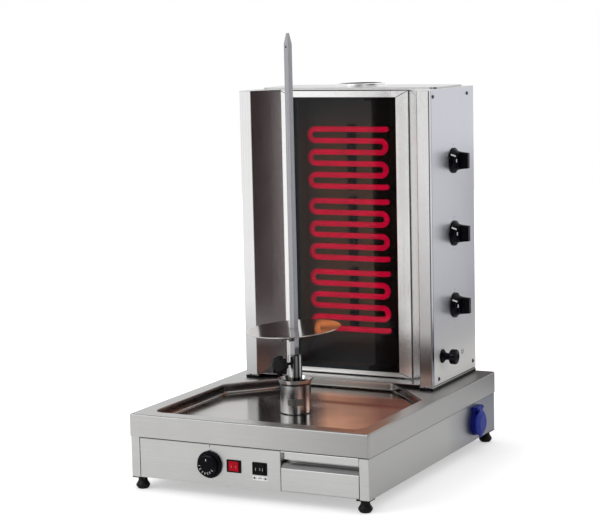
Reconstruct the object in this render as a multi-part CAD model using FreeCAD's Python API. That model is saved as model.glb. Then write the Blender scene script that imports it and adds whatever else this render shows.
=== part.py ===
import FreeCAD, Part
import math
import os
from FreeCAD import Matrix, Placement, Rotation, Vector

# Doner kebab grill for a counter. A low cabinet carries a sunk drip pan, a turning spit
# stands in the pan, and an electric heating tower slides on two rails behind it.
# X runs to the right along the front, Y to the back and Z up, in millimetres. The cabinet
# is drawn round x = 0 and y = 0 with the counter at z = 0, and each finished piece is then
# moved by one shift, so that the box round the whole grill is centred on the origin.

# Clearances
seat_gap = 0.3
slide_gap = 0.4
running_gap = 0.05
shaft_stub = 20.0
seam_gap = 1.4

# Cabinet
base_width = 520.0
base_depth = 656.0
base_height = 126.5
foot_height = 26.0
apron_height = 45.0
worktop_sheet = 1.2
panel_sheet = 1.0
panel_inset = 1.5
panel_lap = 12.0
panel_return = 14.0
side_stile = 19.5
corner_radius = 3.5
fold_radius = 1.2

# Sunk drip pan, seen from above: straight sides, then two slanted sides to a short back edge
pan_depth = 20.5
pan_side_rim = 33.5
pan_front_rim = 35.0
pan_shoulder = 0.0
pan_back = 141.0
pan_back_width = 203.0
pan_corner_radius = 25.0
pan_bend_radius = 14.0
rim_roll = 4.0
floor_roll = 6.0
drain_radius = 15.0
drain_spout = 8.0
drain_behind_front = 83.0

# Slot for the wiring between the cabinet and the tower
wiring_slot_width = 60.0
wiring_slot_depth = 24.0
wiring_slot_radius = 11.0

# Vent slots in the rear panel and the bottom plate
vent_slot_width = 4.0
vent_slot_length = 34.0
vent_slot_pitch = 12.0
vent_slot_count = 12

# Feet
foot_radius = 15.0
foot_neck_radius = 9.0
foot_sole_radius = 10.0
foot_plate_side = 28.0
foot_plate_thickness = 2.0

# Drawer
drawer_opening_left = 75.0
drawer_front_height = 78.0
drawer_front_proud = 0.5
drawer_fold_height = 44.0
drawer_slope_height = 10.0
drawer_slope_depth = 10.0
drawer_groove_depth = 23.0
drawer_lip_height = 15.0
drawer_lip_notch = 8.0
drawer_sheet = 1.2
drawer_tray_length = 266.0
drawer_tray_height = 66.0
drawer_tray_radius = 6.0
runner_ledge = 12.0
runner_rise = 6.0
runner_web_height = 32.0

# Control panel
knob_x = -80.0
knob_z = 66.0
main_switch_x = -27.0
direction_switch_x = 29.0
switch_z = 67.0
bezel_width = 31.5
bezel_height = 25.0
bezel_proud = 1.8
switch_body_width = 27.0
switch_body_height = 21.5
switch_body_depth = 20.0
rocker_width = 22.6
rocker_height = 19.0
rocker_tip_proud = 3.2
rocker_middle_proud = 1.4
rocker_pivot_depth = 2.0
rocker_back_depth = 4.0
rocker_tilt = 7.0
regulator_body = 46.0
regulator_depth = 40.0

# Regulator knob on the front
dial_skirt_radius = 26.8
dial_skirt_height = 3.2
dial_body_radius = 21.0
dial_face_radius = 19.6
dial_recess_radius = 17.6
dial_recess_depth = 0.5
dial_height = 16.5
dial_nib = 3.8
knob_stub_radius = 3.0
knob_lift = 0.6

# Spit drive in the pan
spit_y = -112.0
spigot_radius = 25.0
spigot_top_above_pan = 49.0
spigot_flange_radius = 45.0
spigot_flange_thickness = 4.0
bearing_radius = 17.5
bearing_width = 11.0
shaft_radius = 7.5
bell_radius = 31.0
bell_wall = 2.0
bell_lift = 1.5
bell_height = 57.5
bell_plate = 4.0
cup_radius = 35.75
cup_height = 10.5
hub_radius = 13.0
hub_depth = 4.0
gearbox_length = 84.0
gearbox_width = 64.0
gearbox_height = 44.0
gearbox_boss_radius = 15.0
motor_radius = 28.0
motor_length = 72.0
bracket_thickness = 3.0
bracket_width = 76.0
standoff_height = 14.0
standoff_radius = 4.0

# Spit holder, spit and meat plate. The spit has stopped at the turn of the photograph.
spit_turn = -18.0
holder_radius = 14.2
holder_wall = 5.0
holder_height = 58.0
holder_floor = 14.0
holder_socket_depth = 9.5
spit_side = 11.8
spit_length = 694.2
spit_waist_sides = ((184.5, 11.8), (430.0, 11.5), (673.0, 11.1))
spit_point_side = 4.2
spit_eye_radius = 2.2
spit_eye_below_tip = 27.0
plate_radius = 95.0
plate_thickness = 2.0
plate_hub_radius = 17.5
plate_hub_height = 15.5
plate_play = 1.6
plate_lean = 3.5
plate_lean_turn = 42.0
plate_rest = 0.9
plate_pin_radius = 3.8
plate_pin_height = 281.0
plate_pin_length = 26.0
pin_handle_radius = 1.4
pin_handle_length = 24.0
star_screw_radius = 3.0
star_screw_height = 42.0
star_radius = 20.0
star_lobe_radius = 4.6
star_lobes = 8
star_thickness = 11.0
star_face_reach = 49.0
star_neck_radius = 6.5
star_neck_length = 9.0

# Heating tower
tower_width = 434.0
tower_front = 80.5
tower_back = 324.0
tower_gap = 8.5
tower_height = 607.5
tower_sheet = 1.0
flange_width = 27.0
side_lap = 10.5
side_seam = 0.6
tower_flange = 12.0
lip_setback = 11.5
tower_travel = 40.0
plateau_height = 3.5
plateau_inset = 15.0
plateau_radius = 15.0
vent_radius = 46.0
vent_collar_radius = 51.5
vent_collar_height = 7.0
vent_centre_y = 227.0

# Screws in the tower's sides, as places along the depth and above the tower's bottom
screw_radius = 2.6
screw_head_radius = 4.6
screw_head_height = 2.4
screw_length = 9.0
screw_places = ((116.0, 11.0), (307.0, 16.0), (101.6, 594.0), (287.7, 593.0))

# Glass front of the tower
glass_width = 236.4
glass_height = 577.7
glass_sill = 13.3
glass_thickness = 5.0
glass_edge = 7.0
frame_thickness = 2.0
frame_front = 137.5
stile_width = 28.8
top_rail = 14.0
bottom_rail = 9.8
mitre_gap = 0.15
frame_side_gap = 0.8

# Heater box behind the glass
tray_depth = 36.0
tray_half_width = 112.0
tray_flange = 23.0
tray_height_inset = 6.0
board_thickness = 25.0
element_radius = 5.9
element_glass_gap = 3.0
element_half_width = 93.7
element_first_height = 523.6
element_row_pitch = 24.2
element_rows = 6
element_group_pitch = 152.4
element_count = 3
terminal_bend = 10.0
terminal_length = 40.0
bush_wall = 1.6
bush_lip = 2.2
bush_head = 2.0
comb_thickness = 1.5
comb_margin = 9.0

# Selector knobs on the right side of the tower
selector_y = 209.0
selector_first_height = 152.3
selector_pitch = 152.3
selector_skirt_radius = 26.5
selector_skirt_height = 15.5
selector_neck_radius = 18.5
selector_grip_length = 37.0
selector_grip_width = 14.0
selector_grip_height = 33.5
selector_body = 40.0
selector_body_depth = 36.0

# Clamp of the tower
clamp_y = 135.5
clamp_height = 56.0
clamp_base_radius = 14.5
clamp_neck_radius = 7.3
clamp_head_radius = 15.6
clamp_head_start = 20.0
clamp_reach = 35.0
clamp_flutes = 8
clamp_flute_radius = 4.0
clamp_screw_radius = 4.0
clamp_sleeve_radius = 8.0
clamp_nut_radius = 7.5
clamp_nut_height = 6.5

# Guide rails on the worktop and the tongues that run in them
rail_inset = 14.0
rail_width = 30.0
rail_height = 7.3
rail_wall = 1.5
rail_slot = 12.0
rail_start = 82.0
rail_length = 240.0
tongue_stem = 5.0
tongue_head = 21.0
tongue_head_height = 3.2
tongue_length = 234.0
clamp_tab_start = 88.0
clamp_tab_length = 58.0
clamp_tab_thickness = 2.0
clamp_tab_head = 9.0

# Socket outlet on the right side, with a sprung lid
outlet_y = 210.5
outlet_z = 64.0
outlet_radius = 27.0
outlet_barrel_radius = 25.0
outlet_flange = 3.0
outlet_reach = 11.5
outlet_inner_radius = 22.0
outlet_inner_depth = 26.0
outlet_recess_radius = 19.5
outlet_recess_depth = 15.0
contact_radius = 2.5
contact_spacing = 19.0
hinge_above_centre = 31.5
hinge_block_width = 34.0
hinge_knuckle = 18.0
hinge_radius = 4.5
hinge_pin_radius = 2.0
lid_thickness = 8.0
lid_rim = 3.0
lid_tab_width = 12.0
lid_tab_drop = 3.0

# Cable gland and terminal block at the back
gland_from_side = 80.0
gland_z = 62.0
gland_thread_radius = 9.8
gland_hex_radius = 13.5
gland_hex_height = 6.0
gland_dome_radius = 11.5
gland_reach = 21.0
gland_bore_radius = 6.0
block_from_side = 110.0
block_y = 240.0
block_ways = 4
block_way_pitch = 14.0
block_depth = 28.0
block_height = 22.0

# Levels and faces that follow from the sizes above
half_width = base_width / 2
half_depth = base_depth / 2
base_top = foot_height + base_height
apron_bottom = base_top - apron_height
panel_top = apron_bottom + panel_lap
pan_floor = base_top - pan_depth
pan_under = pan_floor - worktop_sheet
side_face = half_width - panel_inset
front_face = -(half_depth - panel_inset)
rear_face = half_depth - panel_inset
side_inner = side_face - panel_sheet
plate_bottom = foot_height + panel_sheet
plate_top = plate_bottom + panel_sheet
opening_edge = side_face - side_stile
drawer_left = drawer_opening_left
drawer_right = opening_edge - seam_gap
drawer_centre = (drawer_left + drawer_right) / 2
panel_right = drawer_left - seam_gap
panel_left = -opening_edge + seat_gap
tower_bottom = base_top + tower_gap
tower_top = tower_bottom + tower_height
tower_half = tower_width / 2
wall_bottom = tower_bottom + tower_sheet
wall_top = tower_top - tower_sheet
flange_inner = tower_half - flange_width
rail_centre = tower_half - rail_inset
gland_x = -half_width + gland_from_side
block_x = -half_width + block_from_side
frame_back = frame_front + frame_thickness
frame_half = glass_width / 2 + stile_width
glass_bottom = tower_bottom + glass_sill
glass_top = glass_bottom + glass_height
glass_front = frame_back + seat_gap
glass_back = glass_front + glass_thickness
tray_front = glass_back + seat_gap
tray_back = tray_front + tray_depth
element_plane = glass_back + element_glass_gap + element_radius
bush_radius = element_radius + bush_wall
bush_head_radius = bush_radius + bush_lip
board_back = tray_back + seat_gap + board_thickness
bell_bottom = pan_floor + bell_lift
bell_top = bell_bottom + bell_height
holder_bottom = bell_top
holder_top = holder_bottom + holder_height
holder_seat = holder_bottom + holder_floor
spit_foot = holder_seat - holder_socket_depth + seat_gap
spit_tip = spit_foot + spit_length
star_z = holder_bottom + star_screw_height
clamp_z = base_top + tower_gap + clamp_height
outlet_face = side_face + outlet_reach
lid_back = outlet_face + seat_gap
lid_front = lid_back + lid_thickness
hinge_z = outlet_z + hinge_above_centre
hinge_x = outlet_face - hinge_radius / 2
gland_end = rear_face + gland_reach
dial_front = front_face - knob_lift - dial_height

# Directions
to_right = Vector(1, 0, 0)
to_left = Vector(-1, 0, 0)
to_front = Vector(0, -1, 0)
to_back = Vector(0, 1, 0)
upward = Vector(0, 0, 1)
centre_plane = Vector(0, 0, 0)
turn = math.radians(spit_turn)
screw_way = Vector(math.sin(turn), -math.cos(turn), 0)
side_way = Vector(-math.cos(turn), -math.sin(turn), 0)
lean_turn = math.radians(plate_lean_turn)
lean_way = Vector(math.sin(lean_turn), -math.cos(lean_turn), 0)
spit_axis = Vector(0, spit_y, 0)
model_shift = Vector((half_width - lid_front) / 2, -(gland_end + dial_front) / 2, 0)


def box(x0, x1, y0, y1, z0, z1):
    """Box between two opposite corners."""
    return Part.makeBox(x1 - x0, y1 - y0, z1 - z0, Vector(x0, y0, z0))


def rod(radius, start, way, length):
    """Round bar from a point along a direction."""
    return Part.makeCylinder(radius, length, start, way)


def rounded(points, radii):
    """Closed wire through flat points, each corner rounded to its own radius."""
    starts, ends, bends = [], [], []
    for i, here in enumerate(points):
        back = (points[i - 1] - here).normalize()
        ahead = (points[(i + 1) % len(points)] - here).normalize()
        if radii[i] <= 0:
            starts.append(here)
            ends.append(here)
            bends.append(None)
            continue
        half_angle = back.getAngle(ahead) / 2
        reach = radii[i] / math.tan(half_angle)
        middle = (back + ahead).normalize()
        crown = here + middle * (radii[i] / math.sin(half_angle) - radii[i])
        starts.append(here + back * reach)
        ends.append(here + ahead * reach)
        bends.append(Part.Arc(starts[i], crown, ends[i]).toShape())
    edges = []
    for i, bend in enumerate(bends):
        if bend:
            edges.append(bend)
        following = starts[(i + 1) % len(points)]
        if ends[i].distanceToPoint(following) > 1e-6:
            edges.append(Part.LineSegment(ends[i], following).toShape())
    return Part.Wire(edges)


def flat(pairs):
    """Points of the XY plane from number pairs."""
    return [Vector(a, b, 0) for a, b in pairs]


def prism(points, radii, z0, z1):
    """Upright solid over a rounded outline."""
    face = Part.Face(rounded(points, radii))
    return face.extrude(upward * (z1 - z0)).translated(upward * z0)


def grown(points, distance):
    """Outline, drawn anticlockwise, with every side moved outwards by a distance."""
    result = []
    for i, here in enumerate(points):
        a = (here - points[i - 1]).normalize()
        b = (points[(i + 1) % len(points)] - here).normalize()
        na, nb = Vector(a.y, -a.x, 0), Vector(b.y, -b.x, 0)
        result.append(here + (na + nb) * (distance / (1 + na.dot(nb))))
    return result


def folded(points, thickness, bend):
    """Section of folded sheet: the given line, with the sheet's thickness on its right."""
    outer, line_radii, outer_radii = [], [0], [0]
    ways = [(points[i + 1] - points[i]).normalize() for i in range(len(points) - 1)]
    sides = [Vector(way.y, -way.x, 0) for way in ways]
    outer.append(points[0] + sides[0] * thickness)
    for i in range(1, len(points) - 1):
        na, nb = sides[i - 1], sides[i]
        outer.append(points[i] + (na + nb) * (thickness / (1 + na.dot(nb))))
        turns_left = ways[i - 1].cross(ways[i]).z > 0
        line_radii.append(bend if turns_left else bend + thickness)
        outer_radii.append(bend + thickness if turns_left else bend)
    outer.append(points[-1] + sides[-1] * thickness)
    line_radii.append(0)
    outer_radii.append(0)
    return Part.Face(rounded(points + outer[::-1], line_radii + outer_radii[::-1]))


def laid(shape, along, up, origin=Vector(0, 0, 0)):
    """Turn a shape so that its X axis runs along one direction and its Y axis up another."""
    out = along.cross(up)
    frame = Matrix(along.x, up.x, out.x, origin.x, along.y, up.y, out.y, origin.y,
                   along.z, up.z, out.z, origin.z, 0, 0, 0, 1)
    turned_shape = shape.copy()
    turned_shape.Placement = Placement(frame).multiply(shape.Placement)
    return turned_shape


def turned(pairs, radii, origin, axis):
    """Solid of revolution from a section of (radius, height) pairs."""
    face = laid(Part.Face(rounded(flat(pairs), radii)), to_right, upward)
    solid = face.revolve(Vector(0, 0, 0), upward, 360)
    solid.Placement = Placement(origin, Rotation(upward, axis)).multiply(solid.Placement)
    return solid


def mirrored(shape):
    """The same piece for the other side of the grill."""
    return shape.mirror(centre_plane, to_right)


def edges_where(shape, test):
    """Edges whose box passes a test."""
    return [edge for edge in shape.Edges if test(edge.BoundBox)]


def rectangle(width, depth):
    """Four corners of a rectangle round the origin, anticlockwise."""
    w, d = width / 2, depth / 2
    return flat([(-w, -d), (w, -d), (w, d), (-w, d)])


def save(name, shape):
    """Write one piece, moved to the frame of the finished grill."""
    for solid in shape.Solids:
        if not solid.isValid() or solid.Volume <= 0:
            print("bad solid in", name)
    shape.translated(model_shift).exportStep("parts/" + name + ".step")
    print(name, len(shape.Solids))


# Worktop: one pressed sheet with a turned-down apron and the sunk pan

def pan_outline(grow):
    """Corners of the pan's wall, moved outwards by a sheet's thickness or by nothing."""
    side = half_width - pan_side_rim
    back = pan_back_width / 2
    corners = flat([(-side, -half_depth + pan_front_rim), (side, -half_depth + pan_front_rim),
                    (side, pan_shoulder), (back, pan_back), (-back, pan_back), (-side, pan_shoulder)])
    return grown(corners, grow)


def pan_radii(grow):
    """Corner radii of the pan's wall."""
    return [pan_corner_radius + grow] * 2 + [pan_bend_radius + grow] * 4


def deck_block(sheet):
    """Worktop as a full block with the pan sunk in it, smaller all round by a sheet."""
    width, depth = base_width - 2 * sheet, base_depth - 2 * sheet
    top = base_top - sheet
    block = prism(rectangle(width, depth), [corner_radius - sheet] * 4, apron_bottom - sheet, top)
    block = block.makeFillet(corner_radius - sheet, edges_where(block, lambda b: b.ZMin > top - 0.01))
    floor = pan_floor - sheet
    block = block.cut(prism(pan_outline(sheet), pan_radii(sheet), floor, base_top + 1))
    reach = half_width - pan_side_rim / 2
    rim = edges_where(block, lambda b: b.ZMin > top - 0.01 and max(abs(b.XMin), b.XMax) < reach
                      and b.YMin > -half_depth + pan_front_rim / 2 and b.YMax < pan_back + 5)
    block = block.makeFillet(rim_roll - sheet, rim)
    foot = edges_where(block, lambda b: b.ZMax < floor + 0.01 and b.ZMin > floor - 0.01)
    return block.makeFillet(floor_roll + sheet, foot)


def make_worktop():
    """Sheet worktop with holes for the spigot, the drain and the tower's wiring."""
    sheet = deck_block(0).cut(deck_block(worktop_sheet))
    drain = Vector(drawer_centre, -half_depth + drain_behind_front, pan_under - drain_spout)
    sheet = sheet.fuse(rod(drain_radius + worktop_sheet, drain, upward, drain_spout + worktop_sheet))
    sheet = sheet.cut(rod(drain_radius, drain - upward, upward, drain_spout + 2 * worktop_sheet + 2))
    spigot = spit_axis + upward * (pan_under - 1)
    sheet = sheet.cut(rod(spigot_radius + seat_gap, spigot, upward, worktop_sheet + 2))
    slot = prism(rectangle(wiring_slot_width, wiring_slot_depth), [wiring_slot_radius] * 4,
                 base_top - 2 * worktop_sheet, base_top + 1)
    return sheet.cut(slot.translated(Vector(0, (pan_back + half_depth) / 2, 0)))


# Lower cabinet: two folded sides, a rear panel, a bottom plate and the control panel

def make_side_right():
    """Folded side with a front stile, a rear return and a flange that carries the bottom."""
    line = flat([(side_face - panel_return, rear_face), (side_face, rear_face),
                 (side_face, front_face), (opening_edge, front_face)])
    wall = folded(line, panel_sheet, fold_radius).extrude(upward * (panel_top - foot_height))
    wall.translate(upward * foot_height)
    flange = box(side_inner - panel_return, side_inner, front_face + panel_return,
                 rear_face - panel_return, foot_height, plate_bottom)
    return wall.fuse(flange).removeSplitter()


def make_outlet_side():
    """Right side, with the hole for the socket outlet."""
    start = Vector(side_inner - 1, outlet_y, outlet_z)
    return make_side_right().cut(rod(outlet_inner_radius + seat_gap, start, to_right, panel_sheet + 2))


def slot_row(count, pitch, width, length):
    """Row of upright rounded slots, cut through Y, centred on the origin."""
    slots = []
    for i in range(count):
        face = Part.Face(rounded(rectangle(width, length), [width / 2 - 0.05] * 4))
        slot = laid(face.extrude(upward * 6), to_right, upward, Vector(0, 3, 0))
        slots.append(slot.translated(Vector((i - (count - 1) / 2) * pitch, 0, 0)))
    return slots


def make_rear_panel():
    """Rear panel behind the side returns, with the gland's hole and a row of vent slots."""
    face = rear_face - panel_sheet - seat_gap
    edge = side_inner - fold_radius - seat_gap
    panel = box(-edge, edge, face - panel_sheet, face, plate_top, panel_top)
    middle = Vector(0, face, (plate_top + apron_bottom) / 2)
    slots = slot_row(vent_slot_count, vent_slot_pitch, vent_slot_width, vent_slot_length)
    panel = panel.cut([slot.translated(middle) for slot in slots])
    start = Vector(gland_x, face - 3, gland_z)
    return panel.cut(rod(gland_thread_radius + seat_gap, start, to_back, 6))


def make_bottom_plate():
    """Bottom plate on the side flanges, with vent slots under the motor."""
    edge = side_inner - fold_radius - seat_gap
    plate = box(-edge, edge, front_face + panel_sheet + seat_gap * 5,
                rear_face - panel_sheet - seat_gap, plate_bottom, plate_top)
    for row in (-1, 1):
        for i in range(vent_slot_count):
            x = (i - (vent_slot_count - 1) / 2) * vent_slot_pitch - gearbox_length
            y = spit_y + row * vent_slot_length
            slot = prism(rectangle(vent_slot_width, vent_slot_length),
                         [vent_slot_width / 2 - 0.05] * 4, plate_bottom - 1, plate_top + 1)
            plate = plate.cut(slot.translated(Vector(x, y, 0)))
    return plate


def make_control_panel():
    """Front panel with the holes for the regulator's shaft and the two switches."""
    line = flat([(panel_right, front_face + panel_return), (panel_right, front_face),
                 (panel_left, front_face), (panel_left, front_face + panel_return)])
    panel = folded(line, panel_sheet, fold_radius).extrude(upward * (panel_top - foot_height - 1))
    panel.translate(upward * (foot_height + 0.5))
    relief = front_face + panel_sheet + fold_radius
    panel = panel.cut(box(panel_left - 1, panel_right + 1, relief, front_face + panel_return + 1,
                          foot_height, plate_top + seat_gap))
    start = Vector(knob_x, front_face - 1, knob_z)
    panel = panel.cut(rod(knob_stub_radius + 1, start, to_back, panel_sheet + 2))
    for x in (main_switch_x, direction_switch_x):
        w, h = switch_body_width / 2 + 0.2, switch_body_height / 2 + 0.2
        panel = panel.cut(box(x - w, x + w, front_face - 1, front_face + panel_sheet + 1,
                              switch_z - h, switch_z + h))
    return panel


def make_divider():
    """Upright sheet between the wiring space and the drawer, with a foot flange."""
    face = panel_right - panel_sheet - seat_gap
    back = front_face + drawer_groove_depth + drawer_tray_length + 20
    line = flat([(face - panel_return, plate_top), (face, plate_top), (face, pan_under - seat_gap)])
    section = folded([Vector(p.x, p.y, 0) for p in line[::-1]], panel_sheet, fold_radius)
    start = front_face + panel_return + seat_gap
    sheet = laid(section, to_right, upward).extrude(to_back * (back - start))
    return sheet.translated(to_back * start + upward * 0)


def make_feet():
    """Four flared rubber feet, each under a square corner plate."""
    plate_z = foot_height - foot_plate_thickness
    inset = foot_radius + 0.5
    feet = []
    for sx in (-1, 1):
        for sy in (-1, 1):
            middle = Vector(sx * (side_face - inset), sy * (rear_face - inset), 0)
            foot = turned([(0, 0), (foot_sole_radius, 0), (foot_radius, foot_height * 0.27),
                           (foot_neck_radius, foot_height * 0.62), (foot_neck_radius, plate_z), (0, plate_z)],
                          [0, 2.5, 5, 8, 0, 0], middle, upward)
            plate = prism(rectangle(foot_plate_side, foot_plate_side), [2] * 4, plate_z, foot_height)
            reach = foot_plate_side / 2
            corner = Vector(sx * (side_face - reach), sy * (rear_face - reach), 0)
            feet.append(foot.fuse(plate.translated(corner)).removeSplitter())
    return Part.makeCompound(feet)


# Drawer: a tray with a folded front, on two runners

def make_drawer_front():
    """Folded front: flat face, sloped lip, finger groove and hanging top lip."""
    y = front_face - drawer_front_proud
    z0 = foot_height + 2
    z1 = z0 + drawer_fold_height
    z2 = z1 + drawer_slope_height
    z3 = z0 + drawer_front_height - drawer_sheet
    back = y + drawer_groove_depth
    line = flat([(y + panel_return, z0), (y, z0), (y, z1), (y + drawer_slope_depth, z2), (back, z2),
                 (back, z3), (y + drawer_sheet, z3), (y + drawer_sheet, z3 + drawer_sheet - drawer_lip_height)])
    section = folded(line, drawer_sheet, 0.8)
    front = laid(section, to_back, upward).extrude(to_right * (drawer_right - drawer_left))
    front.translate(to_right * drawer_left)
    notch = box(drawer_left - 1, drawer_left + drawer_lip_notch, y - 1, y + drawer_slope_depth,
                z3 + drawer_sheet - drawer_lip_height - 1, z3 - drawer_sheet)
    return front.cut(notch)


def tray_span():
    """Front, back, left, right and floor of the drawer's tray."""
    front = front_face - drawer_front_proud + drawer_groove_depth + drawer_sheet
    left = drawer_left + 5.6
    right = drawer_right - 5.6
    return front, front + drawer_tray_length, left, right, plate_top + runner_rise + seat_gap


def make_drawer_tray():
    """Open-topped tray that catches the fat from the pan's drain."""
    front, back, left, right, floor = tray_span()
    middle = Vector((left + right) / 2, (front + back) / 2, 0)
    outer = prism(rectangle(right - left, back - front), [drawer_tray_radius] * 4,
                  floor, floor + drawer_tray_height)
    inner = prism(rectangle(right - left - 2 * drawer_sheet, back - front - 2 * drawer_sheet),
                  [drawer_tray_radius - drawer_sheet] * 4, floor + drawer_sheet, floor + drawer_tray_height + 1)
    return outer.cut(inner).translated(middle)


def make_runners():
    """Two runners on the bottom plate: a ledge under the tray and a web beside it."""
    front, back, left, right, floor = tray_span()
    start, end = front_face + panel_return, back + 4
    runners = []
    for edge, inward in ((left, 1), (right, -1)):
        face = edge - inward * slide_gap
        web = sorted((face, face - inward * panel_sheet))
        ledge = sorted((face - inward * panel_sheet, face + inward * runner_ledge))
        runner = box(web[0], web[1], start, end, plate_top, plate_top + runner_web_height)
        foot = box(ledge[0], ledge[1], start, end, plate_top, plate_top + panel_sheet)
        seat = box(ledge[0], ledge[1], start, end, plate_top + runner_rise - panel_sheet, plate_top + runner_rise)
        runners.append(runner.fuse([foot, seat]).removeSplitter())
    return Part.makeCompound(runners)


# Controls on the front

def make_regulator():
    """Power regulator behind the panel, with a round collar for its shaft."""
    back = front_face + panel_sheet
    half = regulator_body / 2
    body = prism(rectangle(regulator_body, regulator_body), [5] * 4, 0, regulator_depth)
    body = laid(body, to_left, upward, Vector(knob_x, back + 4, knob_z))
    collar = rod(half / 2, Vector(knob_x, back, knob_z), to_back, 4)
    tabs = [box(knob_x - 14 + i * 10, knob_x - 8 + i * 10, back + 4 + regulator_depth,
                back + 12 + regulator_depth, knob_z - 4, knob_z - 3) for i in range(3)]
    bore = rod(knob_stub_radius + running_gap, Vector(knob_x, back - 1, knob_z), to_back, shaft_stub + 2)
    return body.fuse([collar] + tabs).cut(bore)


def make_dial():
    """Regulator knob with a flat skirt, a pointer nib, a sunk face and a stub for the shaft."""
    face = Vector(knob_x, front_face - knob_lift, knob_z)
    dial_floor = dial_height - dial_recess_depth
    knob = turned([(0, 0), (dial_skirt_radius, 0), (dial_skirt_radius, dial_skirt_height),
                   (dial_body_radius, dial_skirt_height + 0.8), (dial_face_radius, dial_height),
                   (dial_recess_radius, dial_height), (dial_recess_radius - dial_recess_depth, dial_floor),
                   (0, dial_floor)],
                  [0, 0, 1, 0.8, 1.2, 0, 0, 0], face, to_front)
    nib = flat([(-8, 0), (8, 0), (0, dial_skirt_radius + dial_nib)])
    nib = laid(Part.Face(rounded(nib, [0, 0, 0.8])).extrude(upward * dial_skirt_height), to_right, upward, face)
    stub = rod(knob_stub_radius, face, to_back, shaft_stub)
    return knob.fuse([nib, stub]).removeSplitter()


def make_switch_housing(x):
    """Rocker switch housing: bezel outside, body behind the panel, pocket for the rocker."""
    bezel = prism(rectangle(bezel_width, bezel_height), [1.5] * 4, 0, bezel_proud)
    bezel = laid(bezel, to_right, upward, Vector(x, front_face, switch_z))
    rim = edges_where(bezel, lambda b: b.YMax < front_face - bezel_proud + 0.01)
    bezel = bezel.makeFillet(0.8, rim)
    w, h = switch_body_width / 2, switch_body_height / 2
    body = box(x - w, x + w, front_face, front_face + switch_body_depth, switch_z - h, switch_z + h)
    pocket_width = rocker_width / 2 + 0.9
    pocket_height = rocker_height / 2 + seat_gap
    pocket = box(x - pocket_width, x + pocket_width, front_face - bezel_proud - 1,
                 front_face + 8.5, switch_z - pocket_height, switch_z + pocket_height)
    blades = [box(x + side * 7 - 0.4, x + side * 7 + 0.4, front_face + switch_body_depth,
                  front_face + switch_body_depth + 7, switch_z - 3, switch_z + 3) for side in (-1, 1)]
    return bezel.fuse(body).cut(pocket).fuse(blades)


def make_rocker(x, tilt):
    """Rocker with a shallow valley, tipped about its upright pivot."""
    w = rocker_width / 2
    points = flat([(-w, -rocker_tip_proud), (0, -rocker_middle_proud), (w, -rocker_tip_proud),
                   (w, 0), (w * 0.7, rocker_back_depth), (-w * 0.7, rocker_back_depth), (-w, 0)])
    h = rocker_height / 2
    rocker = prism(points, [0.8, 6, 0.8, 0, 1.5, 1.5, 0], switch_z - h, switch_z + h)
    rocker.translate(Vector(x, front_face, 0))
    return rocker.rotated(Vector(x, front_face + rocker_pivot_depth, 0), upward, tilt)


# Spit drive

def make_spigot():
    """Fixed housing: a flange under the pan and a tube that stands up through it."""
    low = pan_under - spigot_flange_thickness
    top = pan_floor + spigot_top_above_pan
    bore = bearing_radius + running_gap
    shoulder = bearing_radius - 3
    return turned([(bore, low), (spigot_flange_radius, low), (spigot_flange_radius, pan_under),
                   (spigot_radius, pan_under), (spigot_radius, top), (bore, top), (bore, top - bearing_width),
                   (shoulder, top - bearing_width - 2), (shoulder, low + bearing_width + 2),
                   (bore, low + bearing_width)],
                  [0, 1, 0, 0, 2, 0, 0, 0, 0, 0], spit_axis, upward)


def make_bearings():
    """Two bearings for the drive shaft, each with a grooved face."""
    low = pan_under - spigot_flange_thickness
    top = pan_floor + spigot_top_above_pan
    bore = shaft_radius + running_gap
    middle = (bore + bearing_radius) / 2
    rings = []
    for start in (low, top - bearing_width):
        ring = turned([(bore, 0), (middle - 2, 0), (middle - 2, 1), (middle + 2, 1), (middle + 2, 0),
                       (bearing_radius, 0), (bearing_radius, bearing_width), (middle + 2, bearing_width),
                       (middle + 2, bearing_width - 1), (middle - 2, bearing_width - 1),
                       (middle - 2, bearing_width), (bore, bearing_width)],
                      [0] * 12, spit_axis + upward * start, upward)
        rings.append(ring)
    return Part.makeCompound(rings)


def bracket_level():
    """Top of the bracket plate that carries the geared motor."""
    return pan_under - spigot_flange_thickness - standoff_height


def make_bracket():
    """Motor bracket: a plate hung from the spigot's flange on four standoffs."""
    top = bracket_level()
    plate = prism(rectangle(bracket_width, bracket_width), [8] * 4, top - bracket_thickness, top)
    spread = spigot_flange_radius / math.sqrt(2) - standoff_radius
    posts = [rod(standoff_radius, Vector(sx * spread, sy * spread, top - 0.5), upward, standoff_height + 0.5)
             for sx in (-1, 1) for sy in (-1, 1)]
    hole = rod(gearbox_boss_radius + seat_gap, Vector(0, 0, top - bracket_thickness - 1), upward,
               bracket_thickness + 2)
    return plate.fuse(posts).cut(hole).removeSplitter().translated(spit_axis)


def make_gearmotor():
    """Gearbox under the bracket with a boss for the shaft and a finned motor at its left."""
    top = bracket_level() - bracket_thickness
    low = top - gearbox_height
    gearbox = prism(rectangle(gearbox_length, gearbox_width), [10] * 4, low, top)
    gearbox = gearbox.makeFillet(3, edges_where(gearbox, lambda b: b.ZMax < low + 0.01))
    boss = rod(gearbox_boss_radius, Vector(0, 0, top - 1), upward, bracket_thickness + 5)
    height = (top + low) / 2
    start = -gearbox_length / 2 + 1
    fins = [(0, 0), (motor_radius, 0)]
    pitch = (motor_length - 12) / 8
    for i in range(8):
        x = 4 + i * pitch
        fins += [(motor_radius, x), (motor_radius - 3, x), (motor_radius - 3, x + pitch / 2),
                 (motor_radius, x + pitch / 2)]
    fins += [(motor_radius, motor_length), (0, motor_length)]
    motor = turned(fins, [0] * (len(fins) - 2) + [3, 0], Vector(start, 0, height), to_left)
    body = gearbox.fuse([boss, motor])
    bore = rod(shaft_radius + running_gap, Vector(0, 0, low + 5), upward, gearbox_height + 10)
    return body.cut(bore).translated(spit_axis)


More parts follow.
